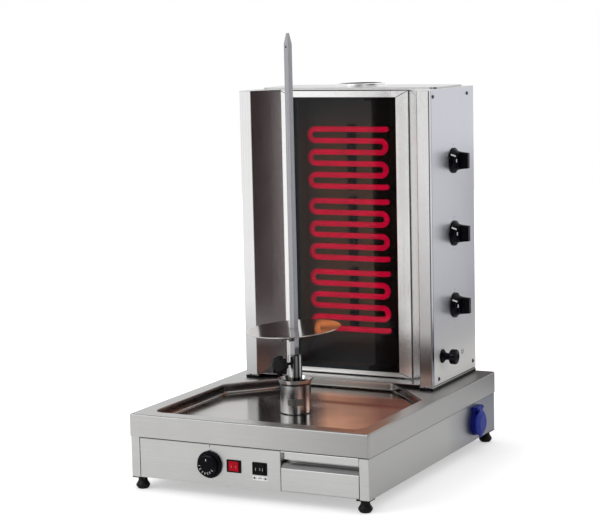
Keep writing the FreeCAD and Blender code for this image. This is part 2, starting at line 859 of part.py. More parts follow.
def make_drive_shaft():
    """Shaft from the gearbox up to the bell's hub."""
    low = bracket_level() - bracket_thickness - gearbox_height + 5.3
    top = bell_top - bell_plate - 0.5 + seat_gap
    shaft = rod(shaft_radius, spit_axis + upward * low, upward, top - low)
    return shaft.makeChamfer(1, edges_where(shaft, lambda b: b.ZMax < low + 0.01))


def make_bell():
    """Turning bell over the spigot, closed on top, with a flared cup round its rim."""
    r, inner = bell_radius, bell_radius - bell_wall
    under = bell_top - bell_plate
    shaft_top = under - 0.5 + seat_gap
    lip = 1.6
    return turned([(inner, bell_bottom), (r, bell_bottom), (r, bell_top - 1), (cup_radius, bell_top + cup_height),
                   (cup_radius - lip, bell_top + cup_height), (r - lip, bell_top), (0, bell_top),
                   (0, shaft_top), (shaft_radius, shaft_top), (shaft_radius, under - hub_depth),
                   (hub_radius, under - hub_depth), (hub_radius, under), (inner, under)],
                  [0, 0.8, 3, 0.5, 0.5, 3, 0, 0, 0, 0, 1, 1, 1], spit_axis, upward)


def make_holder():
    """Spit holder: a bored post with a square socket in its floor and a hole for the star screw."""
    bore = holder_radius - holder_wall
    tube = turned([(0, holder_bottom), (holder_radius, holder_bottom), (holder_radius, holder_top),
                   (bore, holder_top), (bore, holder_seat), (0, holder_seat)],
                  [0, 0, 0.6, 0.6, 0, 0], spit_axis, upward)
    socket = Part.Face(square_wire(spit_side + 2 * seat_gap, holder_seat - holder_socket_depth))
    socket = socket.extrude(upward * (holder_socket_depth + 1))
    hole = rod(star_screw_radius + running_gap, spit_axis + upward * star_z, screw_way, holder_radius + 2)
    return tube.cut(socket).cut(hole)


def square_wire(side, height):
    """Square section of the spit, turned with it."""
    wire = rounded(rectangle(side, side), [0] * 4)
    wire.Placement = Placement(spit_axis + upward * height, Rotation(upward, spit_turn))
    return wire


def make_spit():
    """Square spit that ends in a point, with a hole for the plate's pin and an eye near its tip."""
    wires = [square_wire(spit_side, spit_foot)]
    wires += [square_wire(side, spit_foot + height) for height, side in spit_waist_sides]
    wires.append(square_wire(spit_point_side, spit_tip))
    bar = Part.makeLoft(wires, True, True)
    pin_hole = rod(plate_pin_radius + running_gap,
                   spit_axis + upward * plate_pin_height - screw_way * spit_side, screw_way, 2 * spit_side)
    eye = rod(spit_eye_radius, spit_axis + upward * (spit_tip - spit_eye_below_tip) - screw_way * spit_side,
              screw_way, 2 * spit_side)
    return bar.cut([pin_hole, eye])


def make_plate():
    """Meat plate with a square-holed hub, leaning a little on its pin as in the photograph."""
    foot = plate_pin_height + plate_pin_radius + plate_rest
    disc_low = foot + plate_hub_height
    disc_high = disc_low + plate_thickness
    disc = turned([(0, foot), (plate_hub_radius, foot), (plate_hub_radius, disc_low),
                   (plate_radius, disc_low), (plate_radius, disc_high), (0, disc_high)],
                  [0, 1, 1, 0.9, 0.9, 0], spit_axis, upward)
    side = spit_side + 2 * plate_play
    hole = Part.Face(square_wire(side, foot - 1)).extrude(upward * (plate_hub_height + plate_thickness + 2))
    pivot = spit_axis + upward * plate_pin_height
    return disc.cut(hole).rotated(pivot, lean_way, plate_lean)


def make_plate_pin():
    """Cross pin under the plate, with a bent wire to pull it by."""
    start = spit_axis + upward * plate_pin_height - screw_way * (plate_pin_length / 2)
    pin = rod(plate_pin_radius, start, screw_way, plate_pin_length)
    head = start + screw_way * (plate_pin_length - 2.5)
    bend = head + side_way * (pin_handle_length * 0.6)
    end = head + side_way * pin_handle_length - upward * 4
    pieces = [pin]
    for a, b in ((head, bend), (bend, end)):
        pieces.append(rod(pin_handle_radius, a, b - a, a.distanceToPoint(b)))
    pieces.append(Part.makeSphere(pin_handle_radius, bend))
    pieces.append(Part.makeSphere(pin_handle_radius * 1.4, end))
    return pieces[0].fuse(pieces[1:]).removeSplitter()


def make_star_knob():
    """Star knob with its screw, which clamps the spit in the holder."""
    back = star_face_reach - star_thickness
    origin = spit_axis + upward * star_z
    spread = star_radius - star_lobe_radius
    body = rod(spread, Vector(0, 0, 0), upward, star_thickness)
    lobes = [rod(star_lobe_radius, Vector(spread * math.cos(a), spread * math.sin(a), 0), upward, star_thickness)
             for a in (2 * math.pi * i / star_lobes for i in range(star_lobes))]
    lens = turned([(0, 0), (star_radius + 1, 0), (star_radius + 1, star_thickness * 0.8),
                   (star_radius * 0.62, star_thickness), (0, star_thickness)],
                  [0, 2, 3, 8, 0], Vector(0, 0, 0), upward)
    star = body.fuse(lobes).removeSplitter().common(lens)
    neck = rod(star_neck_radius, Vector(0, 0, -star_neck_length), upward, star_neck_length + 1)
    tip = spit_side / 2 + seat_gap
    screw = rod(star_screw_radius, Vector(0, 0, tip - back), upward, back - tip + 1)
    knob = star.fuse([neck, screw]).removeSplitter()
    return laid(knob, upward.cross(screw_way), upward, origin + screw_way * back)


# Heating tower

def make_wing():
    """Right wing: side return, bright front flange, slanted cheek and the glass seat."""
    seat = glass_width / 2 + glass_edge + 2.8
    line = flat([(tower_half, tower_front + side_lap), (tower_half, tower_front), (flange_inner, tower_front),
                 (frame_half + frame_side_gap, frame_back), (seat, frame_back), (seat, tray_front)])
    wing = folded(line, tower_sheet, fold_radius).extrude(upward * (wall_top - wall_bottom))
    return wing.translated(upward * wall_bottom)


def selector_heights():
    """Heights of the three selector knobs."""
    return [tower_bottom + selector_first_height + i * selector_pitch for i in range(element_count)]


def make_tower_side():
    """Side sheet with flanges at its top, bottom and back."""
    start = tower_front + side_lap + side_seam
    end = tower_back - tower_sheet
    inner = tower_half - tower_sheet
    wall = box(inner, tower_half, start, end, wall_bottom, wall_top).cut(screw_holes())
    low = box(inner - tower_flange, inner, start, end, wall_bottom, wall_bottom + tower_sheet)
    high = box(inner - tower_flange, inner, start, end, wall_top - tower_sheet, wall_top)
    back = box(inner - tower_flange, inner, end - tower_sheet, end, wall_bottom, wall_top)
    return wall.fuse([low, high, back]).removeSplitter()


def screw_holes():
    """Holes for the side screws, right through the wall and its flanges."""
    return [rod(screw_radius + seat_gap, Vector(tower_half + 1, y, tower_bottom + z), to_left, 4)
            for y, z in screw_places]


def make_screws():
    """Eight domed screws, four in each side, each with a square recess in its head."""
    head = turned([(0, 0), (screw_head_radius, 0), (screw_head_radius * 0.6, screw_head_height),
                   (0, screw_head_height)], [0, 0, 2.5, 0], Vector(0, 0, 0), to_right)
    screw = head.fuse(rod(screw_radius, Vector(0, 0, 0), to_left, screw_length))
    recess = box(screw_head_height - 1.4, screw_head_height + 1, -1.3, 1.3, -1.3, 1.3)
    screw = screw.cut(recess).removeSplitter()
    screws = [screw.translated(Vector(tower_half, y, tower_bottom + z)) for y, z in screw_places]
    return Part.makeCompound(screws + [mirrored(each) for each in screws])


def make_tower_side_right():
    """Right side, with holes for the three selector shafts and the clamp screw."""
    side = make_tower_side()
    x = tower_half - tower_sheet - 1
    holes = [rod(knob_stub_radius + 1, Vector(x, selector_y, z), to_right, tower_sheet + 2)
             for z in selector_heights()]
    holes.append(rod(clamp_screw_radius + 0.5, Vector(x, clamp_y, clamp_z), to_right, tower_sheet + 2))
    return side.cut(holes)


def make_tower_rear():
    """Rear cover of the tower, with two rows of vent slots."""
    cover = box(-tower_half, tower_half, tower_back - tower_sheet, tower_back, tower_bottom, tower_top)
    slots = slot_row(vent_slot_count, vent_slot_pitch, vent_slot_width, vent_slot_length)
    for height in (tower_bottom + tower_height * 0.12, tower_top - tower_height * 0.12):
        cover = cover.cut([slot.translated(Vector(0, tower_back, height)) for slot in slots])
    return cover


def tower_outline(front_middle, middle_half):
    """Plan of the tower with its front edge between the wings at a given place."""
    back = tower_back - tower_sheet
    return flat([(tower_half, tower_front), (tower_half, back), (-tower_half, back), (-tower_half, tower_front),
                 (-flange_inner, tower_front), (-middle_half, front_middle), (middle_half, front_middle),
                 (flange_inner, tower_front)])


def make_tower_top():
    """Top sheet with a low raised field and the round vent hole."""
    sheet = prism(tower_outline(frame_back, frame_half), [0] * 8, wall_top, tower_top)
    front, back = frame_back + plateau_inset, tower_back - tower_sheet - plateau_inset
    middle = Vector(0, (front + back) / 2, 0)
    width = tower_width - 2 * plateau_inset
    field = prism(rectangle(width, back - front), [plateau_radius] * 4, wall_top, tower_top + plateau_height)
    hollow = prism(rectangle(width - 2 * tower_sheet, back - front - 2 * tower_sheet),
                   [plateau_radius - tower_sheet] * 4, wall_top - 1, tower_top + plateau_height - tower_sheet)
    sheet = sheet.fuse(field.translated(middle)).cut(hollow.translated(middle))
    vent = rod(vent_radius, Vector(0, vent_centre_y, wall_top - 1), upward, plateau_height + 5)
    return sheet.cut(vent).removeSplitter()


def make_vent_ring():
    """Low spun collar round the vent hole."""
    low = tower_top + plateau_height
    high = low + vent_collar_height
    return turned([(vent_radius, low), (vent_collar_radius + 4, low), (vent_collar_radius + 4, low + 1.2),
                   (vent_collar_radius, low + 1.2), (vent_collar_radius, high), (vent_radius, high)],
                  [0, 0, 0.5, 1, 2, 2], Vector(0, vent_centre_y, 0), upward)


def make_tower_floor():
    """Floor sheet with a drip lip that reaches forward between the wings."""
    lip = tower_front + lip_setback
    slant = (flange_inner - frame_half) / (frame_back - tower_front)
    floor = prism(tower_outline(lip, flange_inner - lip_setback * slant), [0] * 8, tower_bottom, wall_bottom)
    tab = rail_centre - rail_width / 2
    slot = box(tab - seat_gap, tab + clamp_tab_thickness + seat_gap, clamp_tab_start - seat_gap * 2,
               clamp_tab_start + clamp_tab_length + tower_travel + seat_gap * 2, tower_bottom - 1, wall_bottom + 1)
    wiring = prism(rectangle(wiring_slot_width, wiring_slot_depth + tower_travel), [wiring_slot_radius] * 4,
                   tower_bottom - 1, wall_bottom + 1)
    middle = Vector(0, (pan_back + half_depth + tower_travel) / 2, 0)
    return floor.cut([slot, wiring.translated(middle)])


def frame_bar(points):
    """One mitred bar of the glass frame, drawn in the XZ plane."""
    bar = Part.Face(rounded(grown(flat(points), -mitre_gap / 2), [0] * 4)).extrude(upward * frame_thickness)
    bar = laid(bar, to_right, upward, Vector(0, frame_back, 0))
    front = edges_where(bar, lambda b: b.YMax < frame_front + 0.01)
    return bar.makeChamfer(0.4, front)


def make_glass_frame():
    """Frame of four mitred bars in front of the glass."""
    x0, x1 = glass_width / 2, frame_half
    z0, z1 = glass_bottom - bottom_rail, glass_bottom
    z2, z3 = glass_top, glass_top + top_rail
    bars = [[(-x1, z0), (x1, z0), (x0, z1), (-x0, z1)], [(x1, z0), (x1, z3), (x0, z2), (x0, z1)],
            [(x1, z3), (-x1, z3), (-x0, z2), (x0, z2)], [(-x1, z3), (-x1, z0), (-x0, z1), (-x0, z2)]]
    return Part.makeCompound([frame_bar(bar) for bar in bars])


def make_glass():
    """Dark ceramic glass behind the frame."""
    half = glass_width / 2 + glass_edge
    low, high = glass_bottom - glass_edge, glass_top + glass_edge
    pane = box(-half, half, glass_front, glass_back, low, high)
    return pane.makeChamfer(0.6, edges_where(pane, lambda b: b.YMax - b.YMin < 0.01))


def element_levels(index):
    """Height of the first row of one heating element."""
    return tower_bottom + element_first_height - index * element_group_pitch


def terminal_places():
    """Height of each terminal, two for each element."""
    drop = (element_rows - 1) * element_row_pitch
    return [element_levels(i) - shift for i in range(element_count) for shift in (0, drop)]


def make_tray():
    """Heater tray: an open box behind the glass with a flange round its front."""
    low, high = glass_bottom + tray_height_inset, glass_top - tray_height_inset
    wide = tray_half_width + tray_flange
    flange = box(-wide, wide, tray_front, tray_front + tower_sheet, low - 13, high + 13)
    shell = box(-tray_half_width, tray_half_width, tray_front, tray_back, low, high)
    hollow = box(-tray_half_width + tower_sheet, tray_half_width - tower_sheet, tray_front - 1,
                 tray_back - tower_sheet, low + tower_sheet, high - tower_sheet)
    tray = flange.fuse(shell).cut(hollow)
    x = terminal_x()
    holes = [rod(bush_radius + 0.2, Vector(x, tray_back - 3, z), to_back, 6) for z in terminal_places()]
    return tray.cut(holes).removeSplitter()


def terminal_x():
    """Place across the tower where the element ends turn back."""
    return element_half_width - element_radius


def make_board():
    """Ceramic fibre board behind the tray, with holes for the terminals."""
    low, high = glass_bottom + tray_height_inset, glass_top - tray_height_inset
    start = tray_back + seat_gap
    board = box(-tray_half_width, tray_half_width, start, board_back, low, high)
    return board.cut([rod(bush_head_radius + 1, Vector(terminal_x(), start - 1, z), to_back, board_thickness + 2)
                      for z in terminal_places()])


def make_element(index):
    """One tubular element: rows joined by half-turns, with both ends turned to the back."""
    top = element_levels(index)
    y = element_plane
    turn_radius = element_row_pitch / 2
    left = -element_half_width + turn_radius + element_radius
    right = element_half_width - turn_radius - element_radius
    end_x = terminal_x()
    edges = []
    at = Vector(end_x, y + terminal_bend + terminal_length, top)
    corner = at - to_back * terminal_length
    edges.append(Part.LineSegment(at, corner).toShape())
    swing = terminal_bend * math.sqrt(0.5)
    following = Vector(end_x - terminal_bend, y, top)
    crown = Vector(following.x + swing, y + terminal_bend - swing, top)
    edges.append(Part.Arc(corner, crown, following).toShape())
    at = following
    for row in range(element_rows):
        z = top - row * element_row_pitch
        leftward = row % 2 == 0
        stop = Vector(left if leftward else right, y, z)
        if row == element_rows - 1:
            stop = Vector(end_x - terminal_bend, y, z)
        edges.append(Part.LineSegment(at, stop).toShape())
        if row < element_rows - 1:
            side = -turn_radius if leftward else turn_radius
            crown = Vector(stop.x + side, y, z - turn_radius)
            at = Vector(stop.x, y, z - element_row_pitch)
            edges.append(Part.Arc(stop, crown, at).toShape())
        else:
            at = stop
    crown = Vector(at.x + swing, y + terminal_bend - swing, at.z)
    corner = Vector(end_x, y + terminal_bend, at.z)
    edges.append(Part.Arc(at, crown, corner).toShape())
    edges.append(Part.LineSegment(corner, corner + to_back * terminal_length).toShape())
    path = Part.Wire(edges)
    start = Vector(end_x, y + terminal_bend + terminal_length, top)
    ring = Part.Wire([Part.makeCircle(element_radius, start, to_back)])
    tube = path.makePipeShell([ring], True, False)
    print("element", index, "length", round(path.Length), "volume share",
          round(tube.Volume / (math.pi * element_radius ** 2 * path.Length), 4))
    return tube


def make_bushings():
    """Six flanged ceramic bushings round the element ends."""
    bushes = []
    for z in terminal_places():
        face = tray_back - tower_sheet
        bushes.append(turned([(element_radius + 0.15, -bush_head), (bush_head_radius, -bush_head),
                              (bush_head_radius, 0), (bush_radius, 0), (bush_radius, 6), (element_radius + 0.15, 6)],
                             [0, 0.6, 0, 0, 0.6, 0], Vector(terminal_x(), face, z), to_back))
    return Part.makeCompound(bushes)


def make_combs():
    """Three combs that hold the element rows off the tray's back."""
    combs = []
    back = tray_back - tower_sheet
    for index in range(element_count):
        top = element_levels(index)
        low = top - (element_rows - 1) * element_row_pitch
        comb = box(-comb_thickness / 2, comb_thickness / 2, element_plane, back, low - comb_margin, top + comb_margin)
        for row in range(element_rows):
            z = top - row * element_row_pitch
            comb = comb.cut(rod(element_radius + 0.2, Vector(-comb_thickness, element_plane, z),
                                to_right, 2 * comb_thickness))
        foot = box(-8, 8, back - 1.2, back, low - comb_margin, top + comb_margin)
        combs.append(comb.fuse(foot).removeSplitter())
    return Part.makeCompound(combs)


# Selector switches and knobs

def make_selector_switches():
    """Three rotary switch bodies inside the right side of the tower."""
    bodies = []
    x = tower_half - tower_sheet
    for z in selector_heights():
        body = prism(rectangle(selector_body, selector_body + 6), [6] * 4, 0, selector_body_depth)
        body = laid(body, to_back, upward, Vector(x - selector_body_depth, selector_y, z))
        steps = [box(x - selector_body_depth - 6, x - selector_body_depth, selector_y - 14 + i * 10,
                     selector_y - 8 + i * 10, z - 16, z + 16) for i in range(3)]
        bore = rod(knob_stub_radius + running_gap, Vector(x - shaft_stub - 2, selector_y, z), to_right, shaft_stub + 4)
        bodies.append(body.fuse(steps).cut(bore))
    return Part.makeCompound(bodies)


def make_selector_knob(height):
    """Selector knob: a coned skirt, a tapered bar grip and a stub for the shaft."""
    origin = Vector(tower_half + knob_lift, selector_y, height)
    skirt = turned([(0, 0), (selector_skirt_radius, 0), (selector_skirt_radius, 2.5),
                    (selector_neck_radius + 1.8, selector_skirt_height * 0.45),
                    (selector_neck_radius, selector_skirt_height), (0, selector_skirt_height)],
                   [0, 0, 0.8, 14, 1.5, 0], origin, to_right)
    low, high = selector_skirt_height - 6, selector_grip_height
    shrink = 0.88
    wires = []
    for level, scale in ((low, 1.0), (high, shrink)):
        wire = rounded(rectangle(selector_grip_width * scale, selector_grip_length * scale), [2.5] * 4)
        wires.append(laid(wire, to_back, upward, origin + to_right * level))
    grip = Part.makeLoft(wires, True, True)
    grip = grip.makeFillet(1.6, edges_where(grip, lambda b: b.XMin > origin.x + high - 0.01))
    stub = rod(knob_stub_radius, origin, to_left, shaft_stub)
    return skirt.fuse([grip, stub]).removeSplitter()


# Clamp of the tower

def make_clamp_knob():
    """Mushroom knob with a fluted head and a screw that reaches through to the nut."""
    origin = Vector(tower_half, clamp_y, clamp_z) + to_right * seat_gap
    start = clamp_head_start
    knob = turned([(0, 0), (clamp_base_radius, 0), (clamp_base_radius, 1.6), (clamp_neck_radius, 8),
                   (clamp_neck_radius, start - 3), (clamp_head_radius, start), (clamp_head_radius, clamp_reach - 3),
                   (clamp_head_radius * 0.45, clamp_reach), (0, clamp_reach)],
                  [0, 0, 0.6, 6, 3, 2, 2.5, 5, 0], origin, to_right)
    ring = clamp_head_radius + clamp_flute_radius * 0.55
    flutes = []
    for i in range(clamp_flutes):
        a = 2 * math.pi * i / clamp_flutes
        middle = origin + Vector(start - 4, ring * math.cos(a), ring * math.sin(a))
        flutes.append(rod(clamp_flute_radius, middle, to_right, clamp_reach))
    knob = knob.cut(flutes)
    nut_end = rail_centre - rail_width / 2 - seat_gap - clamp_nut_height
    screw = rod(clamp_screw_radius, origin + to_right, to_left, origin.x + 1 - nut_end + 2)
    return knob.fuse(screw).removeSplitter()


def make_clamp_sleeve():
    """Spacer sleeve between the tower's side and the clamp tab."""
    inner = tower_half - tower_sheet
    tab = rail_centre - rail_width / 2 + clamp_tab_thickness + seat_gap
    return turned([(clamp_screw_radius + 0.3, 0), (clamp_sleeve_radius, 0), (clamp_sleeve_radius, inner - tab - 2),
                   (clamp_sleeve_radius + 4, inner - tab - 2), (clamp_sleeve_radius + 4, inner - tab),
                   (clamp_screw_radius + 0.3, inner - tab)],
                  [0, 0.5, 1, 0.4, 0, 0], Vector(tab, clamp_y, clamp_z), to_right)


def make_clamp_nut():
    """Hexagon nut behind the clamp tab."""
    corners = [(clamp_nut_radius * math.cos(math.pi * i / 3), clamp_nut_radius * math.sin(math.pi * i / 3))
               for i in range(6)]
    nut = prism(flat(corners), [0] * 6, 0, clamp_nut_height)
    face = rail_centre - rail_width / 2 - seat_gap
    nut = laid(nut, to_back, upward, Vector(face - clamp_nut_height, clamp_y, clamp_z))
    return nut.cut(rod(clamp_screw_radius + running_gap, Vector(face + 1, clamp_y, clamp_z), to_left,
                       clamp_nut_height + 2))


# Guide rails and tongues

def make_rail():
    """Right guide rail: a C section open at the top, flat on the worktop."""
    left, right = rail_centre - rail_width / 2, rail_centre + rail_width / 2
    top = base_top + rail_height
    mouth_left, mouth_right = rail_centre - rail_slot / 2, rail_centre + rail_slot / 2
    line = flat([(mouth_left, top), (left, top), (left, base_top), (right, base_top), (right, top),
                 (mouth_right, top)])
    section = folded(line[::-1], rail_wall, 0.5)
    rail = laid(section, to_right, upward).extrude(to_back * rail_length)
    return rail.translated(to_back * rail_start)


def make_clamp_rail():
    """Right rail with an upright slotted tab for the clamp screw."""
    left = rail_centre - rail_width / 2
    top = clamp_z + clamp_tab_head
    foot, end = base_top + rail_wall + 1, clamp_tab_start + clamp_tab_length
    profile = flat([(clamp_tab_start, foot), (end, foot), (end, top), (clamp_tab_start, top)])
    tab = laid(Part.Face(rounded(profile, [0, 0, 6, 6])), to_back, upward, to_right * left)
    tab = tab.extrude(to_right * clamp_tab_thickness)
    half = clamp_screw_radius + 0.3
    slot = flat([(clamp_y - tower_travel - half, clamp_z - half), (clamp_y + half, clamp_z - half),
                 (clamp_y + half, clamp_z + half), (clamp_y - tower_travel - half, clamp_z + half)])
    slot = laid(Part.Face(rounded(slot, [half - 0.01] * 4)), to_back, upward, to_right * (left - 1))
    slot = slot.extrude(to_right * (clamp_tab_thickness + 2))
    return make_rail().fuse(tab).removeSplitter().cut(slot)


def make_tongues():
    """T-shaped tongues under the tower's floor, one in each rail."""
    low = base_top + rail_wall + seat_gap
    head, stem = tongue_head / 2, tongue_stem / 2
    start = rail_start + 2
    bar = box(rail_centre - head, rail_centre + head, start, start + tongue_length, low, low + tongue_head_height)
    web = box(rail_centre - stem, rail_centre + stem, start, start + tongue_length, low, tower_bottom)
    tongue = bar.fuse(web).removeSplitter()
    return Part.makeCompound([tongue, mirrored(tongue)])


# Socket outlet

def knuckle(low, high, bore):
    """Hinge knuckle along Y."""
    origin = Vector(hinge_x, outlet_y + low, hinge_z)
    return rod(hinge_radius, origin, to_back, high - low).cut(rod(bore, origin, to_back, high - low))


def make_outlet():
    """Socket outlet: flange, barrel with a recess, two contact holes and hinge ears."""
    centre = Vector(0, outlet_y, outlet_z)
    flange = rod(outlet_radius, centre + to_right * side_face, to_right, outlet_flange)
    barrel = rod(outlet_barrel_radius, centre + to_right * side_face, to_right, outlet_reach)
    inner = rod(outlet_inner_radius, centre + to_right * (side_face - outlet_inner_depth), to_right,
                outlet_inner_depth + 1)
    w = hinge_block_width / 2
    block = box(side_face, outlet_face - hinge_radius, outlet_y - w, outlet_y + w, outlet_z + outlet_radius * 0.5,
                hinge_z + hinge_radius)
    ears = []
    for low, high in ((-w, -hinge_knuckle / 2 - seat_gap), (hinge_knuckle / 2 + seat_gap, w)):
        ear = box(side_face, hinge_x, outlet_y + low, outlet_y + high, hinge_z - hinge_radius, hinge_z + hinge_radius)
        ears += [ear, rod(hinge_radius, Vector(hinge_x, outlet_y + low, hinge_z), to_back, high - low)]
    pin = rod(hinge_pin_radius, Vector(hinge_x, outlet_y - w + 1, hinge_z), to_back, 2 * w - 2)
    body = flange.fuse([barrel, inner, block] + ears + [pin]).removeSplitter()
    gap = rod(hinge_radius + seat_gap, Vector(hinge_x, outlet_y - hinge_knuckle / 2 - seat_gap, hinge_z),
              to_back, hinge_knuckle + 2 * seat_gap)
    gap = gap.cut(rod(hinge_pin_radius, Vector(hinge_x, outlet_y - w, hinge_z), to_back, 2 * w))
    recess = rod(outlet_recess_radius, centre + to_right * (outlet_face - outlet_recess_depth), to_right,
                 outlet_recess_depth + 1)
    contacts = [rod(contact_radius, centre + Vector(outlet_face - outlet_recess_depth - 8, side, 0), to_right, 10)
                for side in (-contact_spacing / 2, contact_spacing / 2)]
    return body.cut([gap, recess] + contacts).removeSplitter()


def make_lid():
    """Sprung lid: a domed disc with a finger tab below and a hinge knuckle above."""
    centre = Vector(lid_back, outlet_y, outlet_z)
    disc = turned([(0, 0), (outlet_radius, 0), (outlet_radius, lid_rim), (outlet_radius * 0.7, lid_thickness),
                   (0, lid_thickness)], [0, 0, 2, 10, 0], centre, to_right)
    hollow = turned([(0, -1), (outlet_recess_radius, -1), (outlet_recess_radius, lid_rim - 0.5),
                     (outlet_recess_radius * 0.7, lid_thickness - 3), (0, lid_thickness - 3)],
                    [0, 0, 2, 6, 0], centre, to_right)
    half = lid_tab_width / 2
    tab = box(lid_back, lid_back + lid_rim, outlet_y - half, outlet_y + half,
              outlet_z - outlet_radius - lid_tab_drop, outlet_z - outlet_radius * 0.8)
    w = hinge_knuckle / 2
    bridge = box(lid_back, lid_back + lid_rim, outlet_y - w, outlet_y + w, outlet_z + outlet_radius * 0.7, hinge_z)
    barrel = knuckle(-w, w, hinge_pin_radius + running_gap)
    lid = disc.fuse([tab, bridge]).cut(hollow)
    lid = lid.cut(rod(hinge_pin_radius + running_gap, Vector(hinge_x, outlet_y - w - 1, hinge_z), to_back, 2 * w + 2))
    return lid.fuse(barrel).removeSplitter()


# Gland and terminal block

def make_gland():
    """Cable gland: thread and lock nut inside, hexagon and domed cap outside, open bore."""
    face = rear_face - panel_sheet - seat_gap
    corners = [(gland_hex_radius * math.cos(math.pi * i / 3), gland_hex_radius * math.sin(math.pi * i / 3))
               for i in range(6)]
    hexagon = laid(prism(flat(corners), [0] * 6, 0, gland_hex_height), to_left, upward,
                   Vector(gland_x, face, gland_z))
    reach = gland_end - face
    cap = turned([(0, 0), (gland_dome_radius, 0), (gland_dome_radius, reach - 5), (gland_bore_radius + 1.5, reach),
                  (0, reach)], [0, 0, 4, 1, 0], Vector(gland_x, face, gland_z), to_back)
    thread = rod(gland_thread_radius, Vector(gland_x, face - 12, gland_z), to_back, 13)
    nut_face = face - panel_sheet
    nut = laid(prism(flat(corners), [0] * 6, 0, 5), to_right, upward, Vector(gland_x, nut_face, gland_z))
    body = hexagon.fuse([cap, thread, nut]).removeSplitter()
    return body.cut(rod(gland_bore_radius, Vector(gland_x, face - 13, gland_z), to_back, reach + 15))


def make_terminal_block():
    """Terminal block for the supply, with a screw hole in each way."""
    width = block_ways * block_way_pitch
    block = box(block_x - width / 2, block_x + width / 2, block_y - block_depth / 2, block_y + block_depth / 2,
                plate_top, plate_top + block_height * 0.6)
    for i in range(block_ways):
        x = block_x + (i - (block_ways - 1) / 2) * block_way_pitch
        half = block_way_pitch / 2 - 1.5
        tower = box(x - half, x + half, block_y - block_depth / 4, block_y + block_depth / 4, plate_top,
                    plate_top + block_height)
        block = block.fuse(tower)
        block = block.cut(rod(2.6, Vector(x, block_y, plate_top + block_height / 2), upward, block_height))
    return block.removeSplitter()


os.makedirs("parts", exist_ok=True)
save("worktop", make_worktop())
save("base_side_left", mirrored(make_side_right()))
save("base_side_right", make_outlet_side())
save("base_rear_panel", make_rear_panel())
save("bottom_plate", make_bottom_plate())
save("control_panel", make_control_panel())
save("drawer_divider", make_divider())
save("drawer_runners", make_runners())
save("feet", make_feet())
save("drawer_tray", make_drawer_tray())
save("drawer_front", make_drawer_front())
save("power_regulator", make_regulator())
save("regulator_knob", make_dial())
save("main_switch_housing", make_switch_housing(main_switch_x))
save("direction_switch_housing", make_switch_housing(direction_switch_x))
save("main_rocker", make_rocker(main_switch_x, -rocker_tilt))
save("direction_rocker", make_rocker(direction_switch_x, 0))
save("spigot_housing", make_spigot())
save("shaft_bearings", make_bearings())
save("gearmotor_bracket", make_bracket())
save("gearmotor", make_gearmotor())
save("drive_shaft", make_drive_shaft())
save("turning_bell", make_bell())
save("spit_holder", make_holder())
save("spit", make_spit())
save("meat_plate", make_plate())
save("plate_pin", make_plate_pin())
save("star_knob", make_star_knob())
save("guide_rail_left", mirrored(make_rail()))
save("guide_rail_right", make_clamp_rail())
save("slide_tongues", make_tongues())
save("tower_floor", make_tower_floor())
save("tower_side_left", mirrored(make_tower_side()))
save("tower_side_right", make_tower_side_right())
save("tower_rear_cover", make_tower_rear())
save("tower_top", make_tower_top())
save("vent_ring", make_vent_ring())
save("wing_left", mirrored(make_wing()))
save("wing_right", make_wing())
save("glass_frame", make_glass_frame())
save("glass_panel", make_glass())
save("side_screws", make_screws())
save("heater_tray", make_tray())
save("insulation_board", make_board())
for index, level_name in enumerate(("top", "middle", "bottom")):
    save("heating_element_" + level_name, make_element(index))
save("terminal_bushings", make_bushings())
save("element_combs", make_combs())
save("selector_switches", make_selector_switches())
for level_name, height in zip(("bottom", "middle", "top"), selector_heights()):
    save("selector_knob_" + level_name, make_selector_knob(height))
save("clamp_knob", make_clamp_knob())
save("clamp_sleeve", make_clamp_sleeve())
save("clamp_nut", make_clamp_nut())
save("outlet_socket", make_outlet())
save("outlet_lid", make_lid())
save("cable_gland", make_gland())
save("terminal_block", make_terminal_block())
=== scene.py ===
import math

import bpy
from mathutils import Matrix, Vector


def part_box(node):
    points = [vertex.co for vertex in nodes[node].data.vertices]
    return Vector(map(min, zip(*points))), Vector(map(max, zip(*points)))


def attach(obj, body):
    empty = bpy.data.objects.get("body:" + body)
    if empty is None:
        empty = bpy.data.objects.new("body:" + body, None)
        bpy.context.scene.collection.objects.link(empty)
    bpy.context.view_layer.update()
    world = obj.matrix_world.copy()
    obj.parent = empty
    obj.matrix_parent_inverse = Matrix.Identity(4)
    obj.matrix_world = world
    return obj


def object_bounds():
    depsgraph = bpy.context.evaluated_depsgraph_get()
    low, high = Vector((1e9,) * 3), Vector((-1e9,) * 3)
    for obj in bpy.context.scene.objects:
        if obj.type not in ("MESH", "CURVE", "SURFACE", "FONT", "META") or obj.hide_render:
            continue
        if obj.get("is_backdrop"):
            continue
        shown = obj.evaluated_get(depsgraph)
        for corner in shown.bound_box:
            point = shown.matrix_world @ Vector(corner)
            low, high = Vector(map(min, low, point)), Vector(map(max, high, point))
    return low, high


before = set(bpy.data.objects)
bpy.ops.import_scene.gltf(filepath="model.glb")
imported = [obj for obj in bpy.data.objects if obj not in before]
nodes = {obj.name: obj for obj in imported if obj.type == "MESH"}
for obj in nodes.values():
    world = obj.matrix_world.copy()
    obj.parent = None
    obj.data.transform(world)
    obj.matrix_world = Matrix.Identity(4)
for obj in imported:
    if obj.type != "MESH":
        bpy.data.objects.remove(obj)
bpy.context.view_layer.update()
bpy.ops.object.select_all(action="DESELECT")


# Cabinet sheets
# The low cabinet is folded from thin stainless sheet, brushed along its length. Its sides,
# back and bottom are screwed together under the worktop.

def new_material(name):
    """A named material, its node tree and its shader."""
    material = bpy.data.materials.new(name)
    material.use_nodes = True
    return material, material.node_tree, material.node_tree.nodes["Principled BSDF"]


